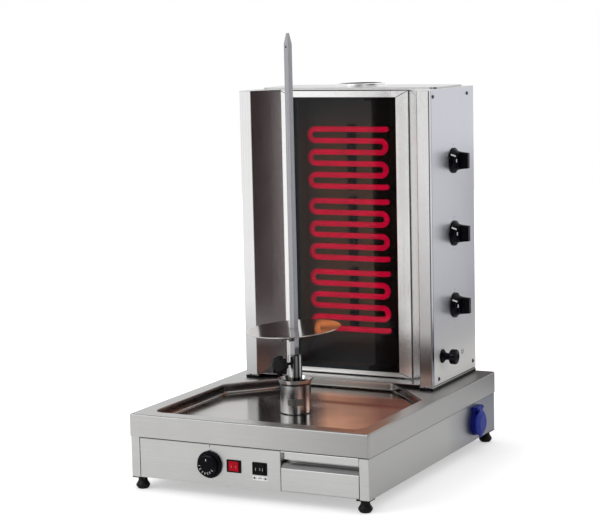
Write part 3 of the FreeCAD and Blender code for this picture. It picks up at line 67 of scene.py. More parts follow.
def new_group(name, inputs, outputs):
    """A shader node group with its sockets, and the nodes at its two ends."""
    group = bpy.data.node_groups.new(name, "ShaderNodeTree")
    for label, kind, value in inputs:
        socket = group.interface.new_socket(label, in_out="INPUT", socket_type="NodeSocket" + kind)
        socket.default_value = value
    for label, kind in outputs:
        group.interface.new_socket(label, in_out="OUTPUT", socket_type="NodeSocket" + kind)
    return group, group.nodes.new("NodeGroupInput"), group.nodes.new("NodeGroupOutput")


def add_node(tree, kind, **values):
    """One shader node with its settings."""
    node = tree.nodes.new(kind)
    for key, value in values.items():
        setattr(node, key, value)
    return node


def spread(tree, source, low, high, to_low=0.0, to_high=1.0):
    """Stretches a value from one range to another and clamps it."""
    ranged = add_node(tree, "ShaderNodeMapRange")
    for index, value in ((1, low), (2, high), (3, to_low), (4, to_high)):
        ranged.inputs[index].default_value = value
    tree.links.new(source, ranged.inputs[0])
    return ranged.outputs[0]


brushing, entry, exit_node = new_group(
    "Brushed sheet", [("Stretch", "Vector", (4.0, 4.0, 900.0)), ("Handling", "Float", 1.0)],
    [("Line", "Float"), ("Smear", "Float")])
where = add_node(brushing, "ShaderNodeTexCoord")
stretch = add_node(brushing, "ShaderNodeVectorMath", operation="MULTIPLY")
brushing.links.new(where.outputs["Object"], stretch.inputs[0])
brushing.links.new(entry.outputs["Stretch"], stretch.inputs[1])
lines = add_node(brushing, "ShaderNodeTexNoise")
lines.inputs["Scale"].default_value = 1.0
lines.inputs["Detail"].default_value = 5.0
brushing.links.new(stretch.outputs[0], lines.inputs["Vector"])
brushing.links.new(spread(brushing, lines.outputs["Fac"], 0.32, 0.68), exit_node.inputs["Line"])
smears = add_node(brushing, "ShaderNodeTexNoise")
smears.inputs["Scale"].default_value = 7.0
smears.inputs["Detail"].default_value = 4.0
smears.inputs["Roughness"].default_value = 0.62
brushing.links.new(where.outputs["Object"], smears.inputs["Vector"])
strength = add_node(brushing, "ShaderNodeMath", operation="MULTIPLY")
brushing.links.new(spread(brushing, smears.outputs["Fac"], 0.3, 0.7), strength.inputs[0])
brushing.links.new(entry.outputs["Handling"], strength.inputs[1])
brushing.links.new(strength.outputs[0], exit_node.inputs["Smear"])


def brushed_steel(name, dark, light, roughness, stretch_by, handling=1.0, spread_by=0.1, bump=0.04):
    """Stainless sheet whose brushing runs across the longest stretch."""
    material, tree, shader = new_material(name)
    shader.inputs["Metallic"].default_value = 1.0
    shader.inputs["Specular IOR Level"].default_value = 0.5
    group = add_node(tree, "ShaderNodeGroup", node_tree=brushing)
    group.inputs["Stretch"].default_value = stretch_by
    group.inputs["Handling"].default_value = handling
    colour = add_node(tree, "ShaderNodeMix", data_type="RGBA")
    colour.inputs["A"].default_value = (*dark, 1)
    colour.inputs["B"].default_value = (*light, 1)
    both = add_node(tree, "ShaderNodeMix", data_type="FLOAT")
    both.inputs["Factor"].default_value = 0.45
    tree.links.new(group.outputs["Line"], both.inputs["A"])
    tree.links.new(group.outputs["Smear"], both.inputs["B"])
    tree.links.new(both.outputs["Result"], colour.inputs["Factor"])
    tree.links.new(colour.outputs["Result"], shader.inputs["Base Color"])
    tree.links.new(spread(tree, both.outputs["Result"], 0, 1, roughness - spread_by / 2, roughness + spread_by / 2),
                   shader.inputs["Roughness"])
    raised = add_node(tree, "ShaderNodeBump")
    raised.inputs["Strength"].default_value = bump
    raised.inputs["Distance"].default_value = 0.0004
    tree.links.new(group.outputs["Line"], raised.inputs["Height"])
    tree.links.new(raised.outputs["Normal"], shader.inputs["Normal"])
    return material


def measured(tree, axis):
    """A point's place along one axis of the grill."""
    where = add_node(tree, "ShaderNodeTexCoord")
    split = add_node(tree, "ShaderNodeSeparateXYZ")
    tree.links.new(where.outputs["Object"], split.inputs[0])
    return split.outputs[axis]


def shade_over(material, mask, colour):
    """Lays a colour over a finish wherever a mask is one."""
    tree = material.node_tree
    base = tree.nodes["Principled BSDF"].inputs["Base Color"]
    over = add_node(tree, "ShaderNodeMix", data_type="RGBA")
    over.inputs["B"].default_value = (*colour, 1)
    tree.links.new(mask, over.inputs["Factor"])
    tree.links.new(base.links[0].from_socket, over.inputs["A"])
    tree.links.new(over.outputs["Result"], base)


def dress(names, material):
    """Gives CAD pieces their finish."""
    for name in names:
        for slot in nodes[name].material_slots:
            slot.material = material


cabinet_steel = brushed_steel("cabinet_steel", (0.61, 0.61, 0.60), (0.70, 0.70, 0.69), 0.34, (5, 5, 1100))
dress(["base_side_left"], cabinet_steel)
cabinet_steel = cabinet_steel.copy()
cabinet_steel.name = "cabinet_steel_seam_shade"
apron_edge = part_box("worktop")[0].z
tree = cabinet_steel.node_tree
# A dark band is painted just under the apron's lower edge: painted shade where the apron laps over the sheets below.
shade_over(cabinet_steel, spread(tree, measured(tree, "Z"), apron_edge - 0.0034, apron_edge - 0.0016), (0.05, 0.05, 0.05))
dress(["base_rear_panel", "control_panel", "drawer_divider", "drawer_runners"], cabinet_steel)
right_side_painted_shade = cabinet_steel.copy()
right_side_painted_shade.name = "cabinet_steel_shaded"
tree = right_side_painted_shade.node_tree
facing = add_node(tree, "ShaderNodeNewGeometry")
upright = add_node(tree, "ShaderNodeSeparateXYZ")
tree.links.new(facing.outputs["Normal"], upright.inputs[0])
# Faces that look towards +X are painted darker: painted shade.
shade_over(right_side_painted_shade, spread(tree, upright.outputs["X"], 0.5, 0.9, 0.0, 0.45), (0.42, 0.415, 0.40))
# The sheet is painted darker and bluer towards the back: a painted reflection.
shade_over(right_side_painted_shade, spread(tree, measured(tree, "Y"), 0.05, 0.25, 0.0, 0.75), (0.19, 0.205, 0.27))
dress(["base_side_right"], right_side_painted_shade)
floor_steel = brushed_steel("floor_steel", (0.40, 0.40, 0.39), (0.52, 0.52, 0.51), 0.4, (5, 900, 5))
dress(["bottom_plate"], floor_steel)


# Worktop and drip pan
# One pressed sheet with a brushed deck and apron. The sunk pan is polished almost to a
# mirror, so that fat runs to the drain.

worktop_low, worktop_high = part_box("worktop")
deck_steel, tree, shader = new_material("deck_steel")
shader.inputs["Metallic"].default_value = 1.0
across = add_node(tree, "ShaderNodeGroup", node_tree=brushing)
across.inputs["Stretch"].default_value = (5, 5, 1100)
along = add_node(tree, "ShaderNodeGroup", node_tree=brushing)
along.inputs["Stretch"].default_value = (5, 1000, 5)
facing = add_node(tree, "ShaderNodeNewGeometry")
upright = add_node(tree, "ShaderNodeSeparateXYZ")
tree.links.new(facing.outputs["Normal"], upright.inputs[0])
level = spread(tree, upright.outputs["Z"], 0.5, 0.8)
grain = add_node(tree, "ShaderNodeMix", data_type="FLOAT")
tree.links.new(level, grain.inputs["Factor"])
tree.links.new(across.outputs["Line"], grain.inputs["A"])
tree.links.new(along.outputs["Line"], grain.inputs["B"])
height = add_node(tree, "ShaderNodeTexCoord")
depth = add_node(tree, "ShaderNodeSeparateXYZ")
tree.links.new(height.outputs["Object"], depth.inputs[0])
inside = add_node(tree, "ShaderNodeVectorMath", operation="MULTIPLY")
inside.inputs[1].default_value = (1, 1, 0)
tree.links.new(height.outputs["Object"], inside.inputs[0])
in_pan = spread(tree, depth.outputs["Z"], worktop_high.z - 0.003, worktop_high.z - 0.008)
above_apron = spread(tree, upright.outputs["Z"], -0.2, 0.1)
apron_depth = add_node(tree, "ShaderNodeMath", operation="ABSOLUTE")
tree.links.new(depth.outputs["X"], apron_depth.inputs[0])
not_apron_x = spread(tree, apron_depth.outputs[0], 0.2495, 0.246)
not_apron_y = spread(tree, depth.outputs["Y"], worktop_low.y + 0.01, worktop_low.y + 0.014)
pan_mask = add_node(tree, "ShaderNodeMath", operation="MULTIPLY")
tree.links.new(in_pan, pan_mask.inputs[0])
tree.links.new(not_apron_x, pan_mask.inputs[1])
pan_only = add_node(tree, "ShaderNodeMath", operation="MULTIPLY")
tree.links.new(pan_mask.outputs[0], pan_only.inputs[0])
tree.links.new(not_apron_y, pan_only.inputs[1])
shade = add_node(tree, "ShaderNodeMix", data_type="FLOAT")
shade.inputs["Factor"].default_value = 0.5
tree.links.new(grain.outputs["Result"], shade.inputs["A"])
tree.links.new(across.outputs["Smear"], shade.inputs["B"])
# The deck top is painted darker than the apron, which is the same sheet: painted shade by the way each face looks.
deck_colour = add_node(tree, "ShaderNodeMix", data_type="RGBA")
deck_colour.inputs["A"].default_value = (0.38, 0.377, 0.372, 1)
deck_colour.inputs["B"].default_value = (0.50, 0.497, 0.492, 1)
tree.links.new(shade.outputs["Result"], deck_colour.inputs["Factor"])
apron_colour = add_node(tree, "ShaderNodeMix", data_type="RGBA")
apron_colour.inputs["A"].default_value = (0.57, 0.565, 0.555, 1)
apron_colour.inputs["B"].default_value = (0.66, 0.655, 0.645, 1)
tree.links.new(shade.outputs["Result"], apron_colour.inputs["Factor"])
sheet_colour = add_node(tree, "ShaderNodeMix", data_type="RGBA")
tree.links.new(level, sheet_colour.inputs["Factor"])
tree.links.new(apron_colour.outputs["Result"], sheet_colour.inputs["A"])
tree.links.new(deck_colour.outputs["Result"], sheet_colour.inputs["B"])
pan_colour = add_node(tree, "ShaderNodeMix", data_type="RGBA")
pan_colour.inputs["B"].default_value = (0.36, 0.345, 0.33, 1)
tree.links.new(pan_only.outputs[0], pan_colour.inputs["Factor"])
tree.links.new(sheet_colour.outputs["Result"], pan_colour.inputs["A"])
tree.links.new(pan_colour.outputs["Result"], shader.inputs["Base Color"])
deck_rough = spread(tree, shade.outputs["Result"], 0, 1, 0.30, 0.40)
pan_rough = spread(tree, across.outputs["Smear"], 0, 1, 0.11, 0.19)
# The rounded fold along the top of the apron is painted darker: painted shade that damps its highlight.
fold = spread(tree, upright.outputs["Z"], 0.12, 0.3)
turned_over = spread(tree, upright.outputs["Z"], 0.97, 0.86)
edge_line = add_node(tree, "ShaderNodeMath", operation="MULTIPLY")
tree.links.new(fold, edge_line.inputs[0])
tree.links.new(turned_over, edge_line.inputs[1])
shade_over(deck_steel, edge_line.outputs[0], (0.34, 0.34, 0.335))
# The faces that look towards +X are painted darker: painted shade.
shade_over(deck_steel, spread(tree, upright.outputs["X"], 0.6, 0.9, 0.0, 0.5), (0.36, 0.355, 0.35))
# The deck beside the tower's right side is painted darker: a painted reflection of the tower side.
by_tower = add_node(tree, "ShaderNodeMath", operation="MULTIPLY")
tree.links.new(spread(tree, measured(tree, "X"), 0.185, 0.215), by_tower.inputs[0])
tree.links.new(spread(tree, measured(tree, "Y"), 0.04, 0.16, 0.0, 0.6), by_tower.inputs[1])
tower_reflection_mask = add_node(tree, "ShaderNodeMath", operation="MULTIPLY")
tree.links.new(by_tower.outputs[0], tower_reflection_mask.inputs[0])
tree.links.new(level, tower_reflection_mask.inputs[1])
shade_over(deck_steel, tower_reflection_mask.outputs[0], (0.20, 0.195, 0.19))
# The front of the apron is painted darker towards the right: painted shade.
front_right = add_node(tree, "ShaderNodeMath", operation="MULTIPLY")
tree.links.new(spread(tree, upright.outputs["Y"], -0.7, -0.9), front_right.inputs[0])
tree.links.new(spread(tree, measured(tree, "X"), -0.06, 0.24, 0.0, 0.62), front_right.inputs[1])
outer_front = add_node(tree, "ShaderNodeMath", operation="MULTIPLY")
tree.links.new(front_right.outputs[0], outer_front.inputs[0])
tree.links.new(spread(tree, measured(tree, "Y"), worktop_low.y + 0.012, worktop_low.y + 0.008), outer_front.inputs[1])
shade_over(deck_steel, outer_front.outputs[0], (0.30, 0.295, 0.29))
# A painted reflection of the glowing elements lies on the right of the pan: orange, turning dark red further right and
# back, with a darker line across it. It is made less metallic there so that it shows as colour.
tint_and_painted_glow = pan_only.outputs[0]
from_right = add_node(tree, "ShaderNodeMath", operation="MULTIPLY_ADD")
from_right.inputs[1].default_value = 0.5
tree.links.new(measured(tree, "Y"), from_right.inputs[0])
tree.links.new(measured(tree, "X"), from_right.inputs[2])
for value in (spread(tree, upright.outputs["Z"], 0.9, 0.97),
              spread(tree, from_right.outputs[0], -0.045, 0.005),
              spread(tree, measured(tree, "Y"), 0.115, 0.07),
              spread(tree, across.outputs["Smear"], 0, 1, 0.80, 0.97)):
    times = add_node(tree, "ShaderNodeMath", operation="MULTIPLY")
    tree.links.new(tint_and_painted_glow, times.inputs[0])
    tree.links.new(value, times.inputs[1])
    tint_and_painted_glow = times.outputs[0]
glow_reflection_colour = add_node(tree, "ShaderNodeMix", data_type="RGBA")
glow_reflection_colour.inputs["A"].default_value = (0.92, 0.47, 0.30, 1)
glow_reflection_colour.inputs["B"].default_value = (0.34, 0.115, 0.075, 1)
tree.links.new(spread(tree, from_right.outputs[0], 0.035, 0.125, 0.0, 0.9), glow_reflection_colour.inputs["Factor"])
reflection_dark_line = add_node(tree, "ShaderNodeMix", data_type="RGBA")
reflection_dark_line.inputs["B"].default_value = (0.30, 0.070, 0.050, 1)
near_line = add_node(tree, "ShaderNodeMath", operation="ABSOLUTE")
off_line = add_node(tree, "ShaderNodeMath", operation="MULTIPLY_ADD")
off_line.inputs[1].default_value = 1.0
off_line.inputs[2].default_value = 0.002
tree.links.new(measured(tree, "Y"), off_line.inputs[0])
tree.links.new(off_line.outputs[0], near_line.inputs[0])
tree.links.new(spread(tree, near_line.outputs[0], 0.020, 0.006, 0.0, 0.7), reflection_dark_line.inputs["Factor"])
tree.links.new(glow_reflection_colour.outputs["Result"], reflection_dark_line.inputs["A"])
glow_reflected = add_node(tree, "ShaderNodeMix", data_type="RGBA")
base = shader.inputs["Base Color"]
tree.links.new(tint_and_painted_glow, glow_reflected.inputs["Factor"])
tree.links.new(base.links[0].from_socket, glow_reflected.inputs["A"])
tree.links.new(reflection_dark_line.outputs["Result"], glow_reflected.inputs["B"])
tree.links.new(glow_reflected.outputs["Result"], base)
tree.links.new(spread(tree, tint_and_painted_glow, 0, 1, 1.0, 0.0), shader.inputs["Metallic"])
rough = add_node(tree, "ShaderNodeMix", data_type="FLOAT")
tree.links.new(pan_only.outputs[0], rough.inputs["Factor"])
tree.links.new(deck_rough, rough.inputs["A"])
tree.links.new(pan_rough, rough.inputs["B"])
tree.links.new(rough.outputs["Result"], shader.inputs["Roughness"])
dress(["worktop"], deck_steel)


# Feet
# Moulded black rubber, dull and a little dusty.

foot_rubber, tree, shader = new_material("foot_rubber")
shader.inputs["Roughness"].default_value = 0.45
shader.inputs["Specular IOR Level"].default_value = 0.16
speck = add_node(tree, "ShaderNodeTexNoise")
speck.inputs["Scale"].default_value = 900
where = add_node(tree, "ShaderNodeTexCoord")
tree.links.new(where.outputs["Object"], speck.inputs["Vector"])
ramp = add_node(tree, "ShaderNodeMix", data_type="RGBA")
ramp.inputs["A"].default_value = (0.004, 0.004, 0.004, 1)
ramp.inputs["B"].default_value = (0.011, 0.0105, 0.010, 1)
tree.links.new(speck.outputs["Fac"], ramp.inputs["Factor"])
tree.links.new(ramp.outputs["Result"], shader.inputs["Base Color"])
pitted = add_node(tree, "ShaderNodeBump")
pitted.inputs["Strength"].default_value = 0.15
pitted.inputs["Distance"].default_value = 0.0005
tree.links.new(speck.outputs["Fac"], pitted.inputs["Height"])
tree.links.new(pitted.outputs["Normal"], shader.inputs["Normal"])
dress(["feet"], foot_rubber)


# Drawer
# A folded stainless front with a sloped lip and a finger groove, on a plain tray.

drawer_steel = brushed_steel("drawer_steel", (0.63, 0.63, 0.62), (0.72, 0.72, 0.71), 0.3, (5, 5, 1100))
tree = drawer_steel.node_tree
facing = add_node(tree, "ShaderNodeNewGeometry")
upright = add_node(tree, "ShaderNodeSeparateXYZ")
tree.links.new(facing.outputs["Normal"], upright.inputs[0])
# The sloped lip, which looks upwards, is painted darker: painted shade.
shade_over(drawer_steel, spread(tree, upright.outputs["Z"], 0.25, 0.6, 0.0, 0.8), (0.20, 0.20, 0.21))
dress(["drawer_front"], drawer_steel)
tray_steel = brushed_steel("tray_steel", (0.50, 0.50, 0.49), (0.60, 0.60, 0.59), 0.24, (700, 5, 5))
dress(["drawer_tray"], tray_steel)


# Regulator and its knob
# Gloss black moulding with plain numbers printed on its face and a dash above them. The
# index that they turn to is printed on the panel.

def black_plastic(name, colour, roughness, pits, bump):
    """Black moulded plastic with a fine moulded skin and slight handling."""
    material, tree, shader = new_material(name)
    shader.inputs["Specular IOR Level"].default_value = 0.09
    where = add_node(tree, "ShaderNodeTexCoord")
    skin = add_node(tree, "ShaderNodeTexNoise")
    skin.inputs["Scale"].default_value = pits
    tree.links.new(where.outputs["Object"], skin.inputs["Vector"])
    touch = add_node(tree, "ShaderNodeTexNoise")
    touch.inputs["Scale"].default_value = 60
    touch.inputs["Detail"].default_value = 3
    tree.links.new(where.outputs["Object"], touch.inputs["Vector"])
    tone = add_node(tree, "ShaderNodeMix", data_type="RGBA")
    tone.inputs["A"].default_value = (*colour, 1)
    tone.inputs["B"].default_value = (*[c * 1.7 + 0.0006 for c in colour], 1)
    tree.links.new(touch.outputs["Fac"], tone.inputs["Factor"])
    tree.links.new(tone.outputs["Result"], shader.inputs["Base Color"])
    tree.links.new(spread(tree, touch.outputs["Fac"], 0.3, 0.7, roughness, roughness + 0.1),
                   shader.inputs["Roughness"])
    raised = add_node(tree, "ShaderNodeBump")
    raised.inputs["Strength"].default_value = bump
    raised.inputs["Distance"].default_value = 0.0003
    tree.links.new(skin.outputs["Fac"], raised.inputs["Height"])
    tree.links.new(raised.outputs["Normal"], shader.inputs["Normal"])
    return material


knob_black = black_plastic("knob_black", (0.0015, 0.0015, 0.003), 0.16, 2500, 0.04)
housing_brown = black_plastic("housing_brown", (0.05, 0.042, 0.036), 0.45, 1500, 0.15)
dress(["regulator_knob"], knob_black)
dress(["power_regulator", "selector_switches"], housing_brown)

print_white, tree, shader = new_material("print_white")
shader.inputs["Roughness"].default_value = 0.5
where = add_node(tree, "ShaderNodeTexCoord")
wear = add_node(tree, "ShaderNodeTexNoise")
wear.inputs["Scale"].default_value = 1800
tree.links.new(where.outputs["Object"], wear.inputs["Vector"])
ink = add_node(tree, "ShaderNodeMix", data_type="RGBA")
ink.inputs["A"].default_value = (0.55, 0.55, 0.54, 1)
ink.inputs["B"].default_value = (0.85, 0.85, 0.84, 1)
tree.links.new(wear.outputs["Fac"], ink.inputs["Factor"])
tree.links.new(ink.outputs["Result"], shader.inputs["Base Color"])


def settle(piece, name, material, body):
    """Names a finished piece, applies its place and ties it to its body."""
    bpy.ops.object.select_all(action="DESELECT")
    piece.select_set(True)
    bpy.context.view_layer.objects.active = piece
    bpy.ops.object.transform_apply(location=True, rotation=True, scale=True)
    piece.name = name
    piece.data.name = name
    piece.data.materials.clear()
    piece.data.materials.append(material)
    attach(piece, body)
    bpy.ops.object.select_all(action="DESELECT")
    return piece


def printed(text, size, thickness):
    """A printed character as a thin closed mesh, centred on the origin."""
    bpy.ops.object.text_add()
    writing = bpy.context.object
    writing.data.body = text
    writing.data.size = size
    writing.data.resolution_u = 3
    writing.data.extrude = thickness / 2
    writing.data.align_x = "CENTER"
    writing.data.align_y = "CENTER"
    bpy.ops.object.convert(target="MESH")
    return bpy.context.object


def slab(width, height, thickness, round_by):
    """A thin mark with rounded corners, centred on the origin."""
    bpy.ops.mesh.primitive_cube_add(size=1)
    mark = bpy.context.object
    mark.scale = (width, height, thickness)
    bpy.ops.object.transform_apply(location=False, rotation=False, scale=True)
    soften = mark.modifiers.new("soften", "BEVEL")
    soften.width = round_by
    soften.segments = 2
    bpy.ops.object.modifier_apply(modifier="soften")
    return mark


def joined(parts):
    """Several meshes as one."""
    bpy.ops.object.select_all(action="DESELECT")
    for part in parts:
        part.select_set(True)
    bpy.context.view_layer.objects.active = parts[0]
    if len(parts) > 1:
        bpy.ops.object.join()
    return bpy.context.view_layer.objects.active


def met(name, start, way):
    """Where a straight line first meets a CAD piece, and that surface's outward direction."""
    found, place, outward, face = nodes[name].ray_cast(Vector(start), Vector(way))
    return place, outward


def laid(mark, place, outward, top):
    """Lays a flat mark on a surface with its top toward one side."""
    outward = Vector(outward).normalized()
    top = Vector(top)
    top = (top - outward * top.dot(outward)).normalized()
    turn = Matrix((top.cross(outward), top, outward)).transposed().to_4x4()
    mark.matrix_world = Matrix.Translation(place) @ turn
    bpy.ops.object.transform_apply(location=True, rotation=True, scale=True)
    return mark


knob_low, knob_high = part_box("regulator_knob")
panel_low, panel_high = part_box("control_panel")
knob_x = (knob_low.x + knob_high.x) / 2
knob_z = knob_low.z + 0.0268
forward, upward = (0, -1, 0), (0, 0, 1)
numbers = []
for value, angle in enumerate((180, 208, 237, 261, 283, 304, 329), start=1):
    digit = printed(str(value), 0.0066, 0.0003)
    reach = 0.0144
    away = Vector((math.cos(math.radians(angle)), 0, math.sin(math.radians(angle))))
    place, outward = met("regulator_knob", Vector((knob_x, knob_low.y - 0.05, knob_z)) + away * reach, (0, 1, 0))
    numbers.append(laid(digit, place, forward, away))
place, outward = met("regulator_knob", (knob_x, knob_low.y - 0.05, knob_z + 0.0117), (0, 1, 0))
numbers.append(laid(slab(0.0014, 0.0042, 0.0003, 0.0001), place, forward, upward))
settle(joined(numbers), "regulator_numbers", print_white, "regulator_knob")

print_dark = black_plastic("print_dark", (0.01, 0.01, 0.011), 0.5, 900, 0.0)
index = laid(slab(0.0014, 0.0046, 0.0002, 0.00008), (knob_x, panel_low.y, knob_z + 0.0362), forward, upward)
settle(index, "regulator_index", print_dark, "base")


# Rocker switches
# The mains switch has a clear red rocker over a lamp, the direction switch a black one
# with three printed marks, and a label strip with two arrows below it.

switch_black = black_plastic("switch_black", (0.003, 0.003, 0.0035), 0.25, 1800, 0.06)
dress(["main_switch_housing", "direction_switch_housing", "direction_rocker"], switch_black)

lamp_red, tree, shader = new_material("lamp_red")
shader.inputs["Roughness"].default_value = 0.35
shader.inputs["Specular IOR Level"].default_value = 0.1
where = add_node(tree, "ShaderNodeTexCoord")
cloud = add_node(tree, "ShaderNodeTexNoise")
cloud.inputs["Scale"].default_value = 140
tree.links.new(where.outputs["Object"], cloud.inputs["Vector"])
reds = add_node(tree, "ShaderNodeMix", data_type="RGBA")
reds.inputs["A"].default_value = (0.34, 0.0015, 0.010, 1)
reds.inputs["B"].default_value = (0.52, 0.004, 0.018, 1)
tree.links.new(cloud.outputs["Fac"], reds.inputs["Factor"])
tree.links.new(reds.outputs["Result"], shader.inputs["Base Color"])
dress(["main_rocker"], lamp_red)

lamp_pink, tree, shader = new_material("lamp_pink")
shader.inputs["Roughness"].default_value = 0.4
where = add_node(tree, "ShaderNodeTexCoord")
cloud = add_node(tree, "ShaderNodeTexNoise")
cloud.inputs["Scale"].default_value = 900
tree.links.new(where.outputs["Object"], cloud.inputs["Vector"])
pinks = add_node(tree, "ShaderNodeMix", data_type="RGBA")
pinks.inputs["A"].default_value = (0.62, 0.10, 0.11, 1)
pinks.inputs["B"].default_value = (0.80, 0.20, 0.20, 1)
tree.links.new(cloud.outputs["Fac"], pinks.inputs["Factor"])
tree.links.new(pinks.outputs["Result"], shader.inputs["Base Color"])

print_grey, tree, shader = new_material("print_grey")
shader.inputs["Roughness"].default_value = 0.6
where = add_node(tree, "ShaderNodeTexCoord")
wear = add_node(tree, "ShaderNodeTexNoise")
wear.inputs["Scale"].default_value = 1800
tree.links.new(where.outputs["Object"], wear.inputs["Vector"])
ink = add_node(tree, "ShaderNodeMix", data_type="RGBA")
ink.inputs["A"].default_value = (0.30, 0.30, 0.31, 1)
ink.inputs["B"].default_value = (0.52, 0.52, 0.53, 1)
tree.links.new(wear.outputs["Fac"], ink.inputs["Factor"])
tree.links.new(ink.outputs["Result"], shader.inputs["Base Color"])

for name, kinds, ink, slot in (
        ("main_rocker", ((-0.0052, "I"), (0.0052, "0")), lamp_pink, "rocker_red"),
        ("direction_rocker", ((-0.0078, "I"), (0.0005, "0"), (0.0072, "I")), print_grey, "switch_black")):
    rocker_low, rocker_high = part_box(name)
    rocker_x, rocker_z = (rocker_low.x + rocker_high.x) / 2, (rocker_low.z + rocker_high.z) / 2
    marks = []
    for shift, kind in kinds:
        place, outward = met(name, (rocker_x + shift, rocker_low.y - 0.05, rocker_z - 0.001), (0, 1, 0))
        mark = slab(0.0011, 0.0056, 0.0003, 0.0001) if kind == "I" else printed(kind, 0.0072, 0.0003)
        marks.append(laid(mark, place, outward, upward))
    settle(joined(marks), name + "_marks", ink, name)

switch_low, switch_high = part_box("direction_switch_housing")
strip_x = (switch_low.x + switch_high.x) / 2
strip_z = switch_low.z - 0.0065
label_white, tree, shader = new_material("label_white")
shader.inputs["Roughness"].default_value = 0.6
where = add_node(tree, "ShaderNodeTexCoord")
tint_and_painted_glow = add_node(tree, "ShaderNodeTexNoise")
tint_and_painted_glow.inputs["Scale"].default_value = 260
tree.links.new(where.outputs["Object"], tint_and_painted_glow.inputs["Vector"])
whites = add_node(tree, "ShaderNodeMix", data_type="RGBA")
whites.inputs["A"].default_value = (0.84, 0.84, 0.86, 1)
whites.inputs["B"].default_value = (0.94, 0.94, 0.96, 1)
tree.links.new(tint_and_painted_glow.outputs["Fac"], whites.inputs["Factor"])
tree.links.new(whites.outputs["Result"], shader.inputs["Base Color"])
strip = laid(slab(0.0315, 0.0084, 0.0002, 0.00008), (strip_x, panel_low.y, strip_z), forward, upward)
settle(strip, "direction_label", label_white, "base")
legend = (strip_x, panel_low.y - 0.0002, strip_z)
words = [laid(printed("OFF", 0.0046, 0.0002), legend, forward, upward)]
for side in (-1, 1):
    bpy.ops.mesh.primitive_cylinder_add(vertices=3, radius=0.0031, depth=0.0002)
    words.append(laid(bpy.context.object, Vector(legend) + Vector((side * 0.0122, 0, 0)), forward, (side, 0, 0)))
    shaft = slab(0.003, 0.0012, 0.0002, 0.00005)
    words.append(laid(shaft, Vector(legend) + Vector((side * 0.0088, 0, 0)), forward, upward))
settle(joined(words), "direction_legend", print_dark, "base")


# Spit drive
# Turned and polished stainless: a fixed spigot with a turning bell over it, the socket that
# holds the spit, and the geared motor on its bracket below.

def polished_steel(name, dark, light, roughness, rings):
    """Turned stainless with fine rings from the lathe."""
    material, tree, shader = new_material(name)
    shader.inputs["Metallic"].default_value = 1.0
    group = add_node(tree, "ShaderNodeGroup", node_tree=brushing)
    group.inputs["Stretch"].default_value = (8, 8, rings)
    colour = add_node(tree, "ShaderNodeMix", data_type="RGBA")
    colour.inputs["A"].default_value = (*dark, 1)
    colour.inputs["B"].default_value = (*light, 1)
    tree.links.new(group.outputs["Smear"], colour.inputs["Factor"])
    tree.links.new(colour.outputs["Result"], shader.inputs["Base Color"])
    tree.links.new(spread(tree, group.outputs["Line"], 0, 1, roughness * 0.7, roughness * 1.3),
                   shader.inputs["Roughness"])
    return material


bell_polish = polished_steel("bell_polish", (0.50, 0.50, 0.50), (0.60, 0.60, 0.60), 0.15, 1500)
dress(["spigot_housing", "drive_shaft", "shaft_bearings"], bell_polish)


def streaked(name, stops, roughness):
    """Drawn tube, polished upright, with painted highlight and reflection streaks around its axis."""
    material = polished_steel(name, (0.88, 0.88, 0.88), (1.0, 1.0, 1.0), roughness, 1500)
    tree = material.node_tree
    bell_low, bell_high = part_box("turning_bell")
    off_axis = []
    for axis, centre in (("X", (bell_low.x + bell_high.x) / 2), ("Y", (bell_low.y + bell_high.y) / 2)):
        off = add_node(tree, "ShaderNodeMath", operation="SUBTRACT")
        off.inputs[1].default_value = centre
        tree.links.new(measured(tree, axis), off.inputs[0])
        off_axis.append(off.outputs[0])
    angle = add_node(tree, "ShaderNodeMath", operation="ARCTAN2")
    tree.links.new(off_axis[1], angle.inputs[0])
    tree.links.new(off_axis[0], angle.inputs[1])
    ramp = add_node(tree, "ShaderNodeValToRGB")
    tree.links.new(spread(tree, angle.outputs[0], -math.pi, math.pi), ramp.inputs[0])
    ends = ramp.color_ramp.elements
    ramp.color_ramp.interpolation = "EASE"
    ends[0].position, ends[1].position = 0.0, 1.0
    ends[0].color = ends[1].color = (0.45, 0.45, 0.45, 1)
    for turn, level in stops:
        stop = ends.new((turn - 63 + 180) / 360)
        stop.color = (level, level, level * 1.01, 1)
    base = tree.nodes["Principled BSDF"].inputs["Base Color"]
    times = add_node(tree, "ShaderNodeMix", data_type="RGBA", blend_type="MULTIPLY")
    times.inputs["Factor"].default_value = 1.0
    tree.links.new(base.links[0].from_socket, times.inputs["A"])
    tree.links.new(ramp.outputs["Color"], times.inputs["B"])
    tree.links.new(times.outputs["Result"], base)
    return material


bell_painted_streaks = streaked("bell_painted_streaks", ((-75, 0.4), (-34, 1.0), (-12, 0.36), (16, 0.62), (35, 0.14),
                                         (54, 1.0), (72, 0.2)), 0.17)
tree = bell_painted_streaks.node_tree
bell_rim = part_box("turning_bell")[1].z
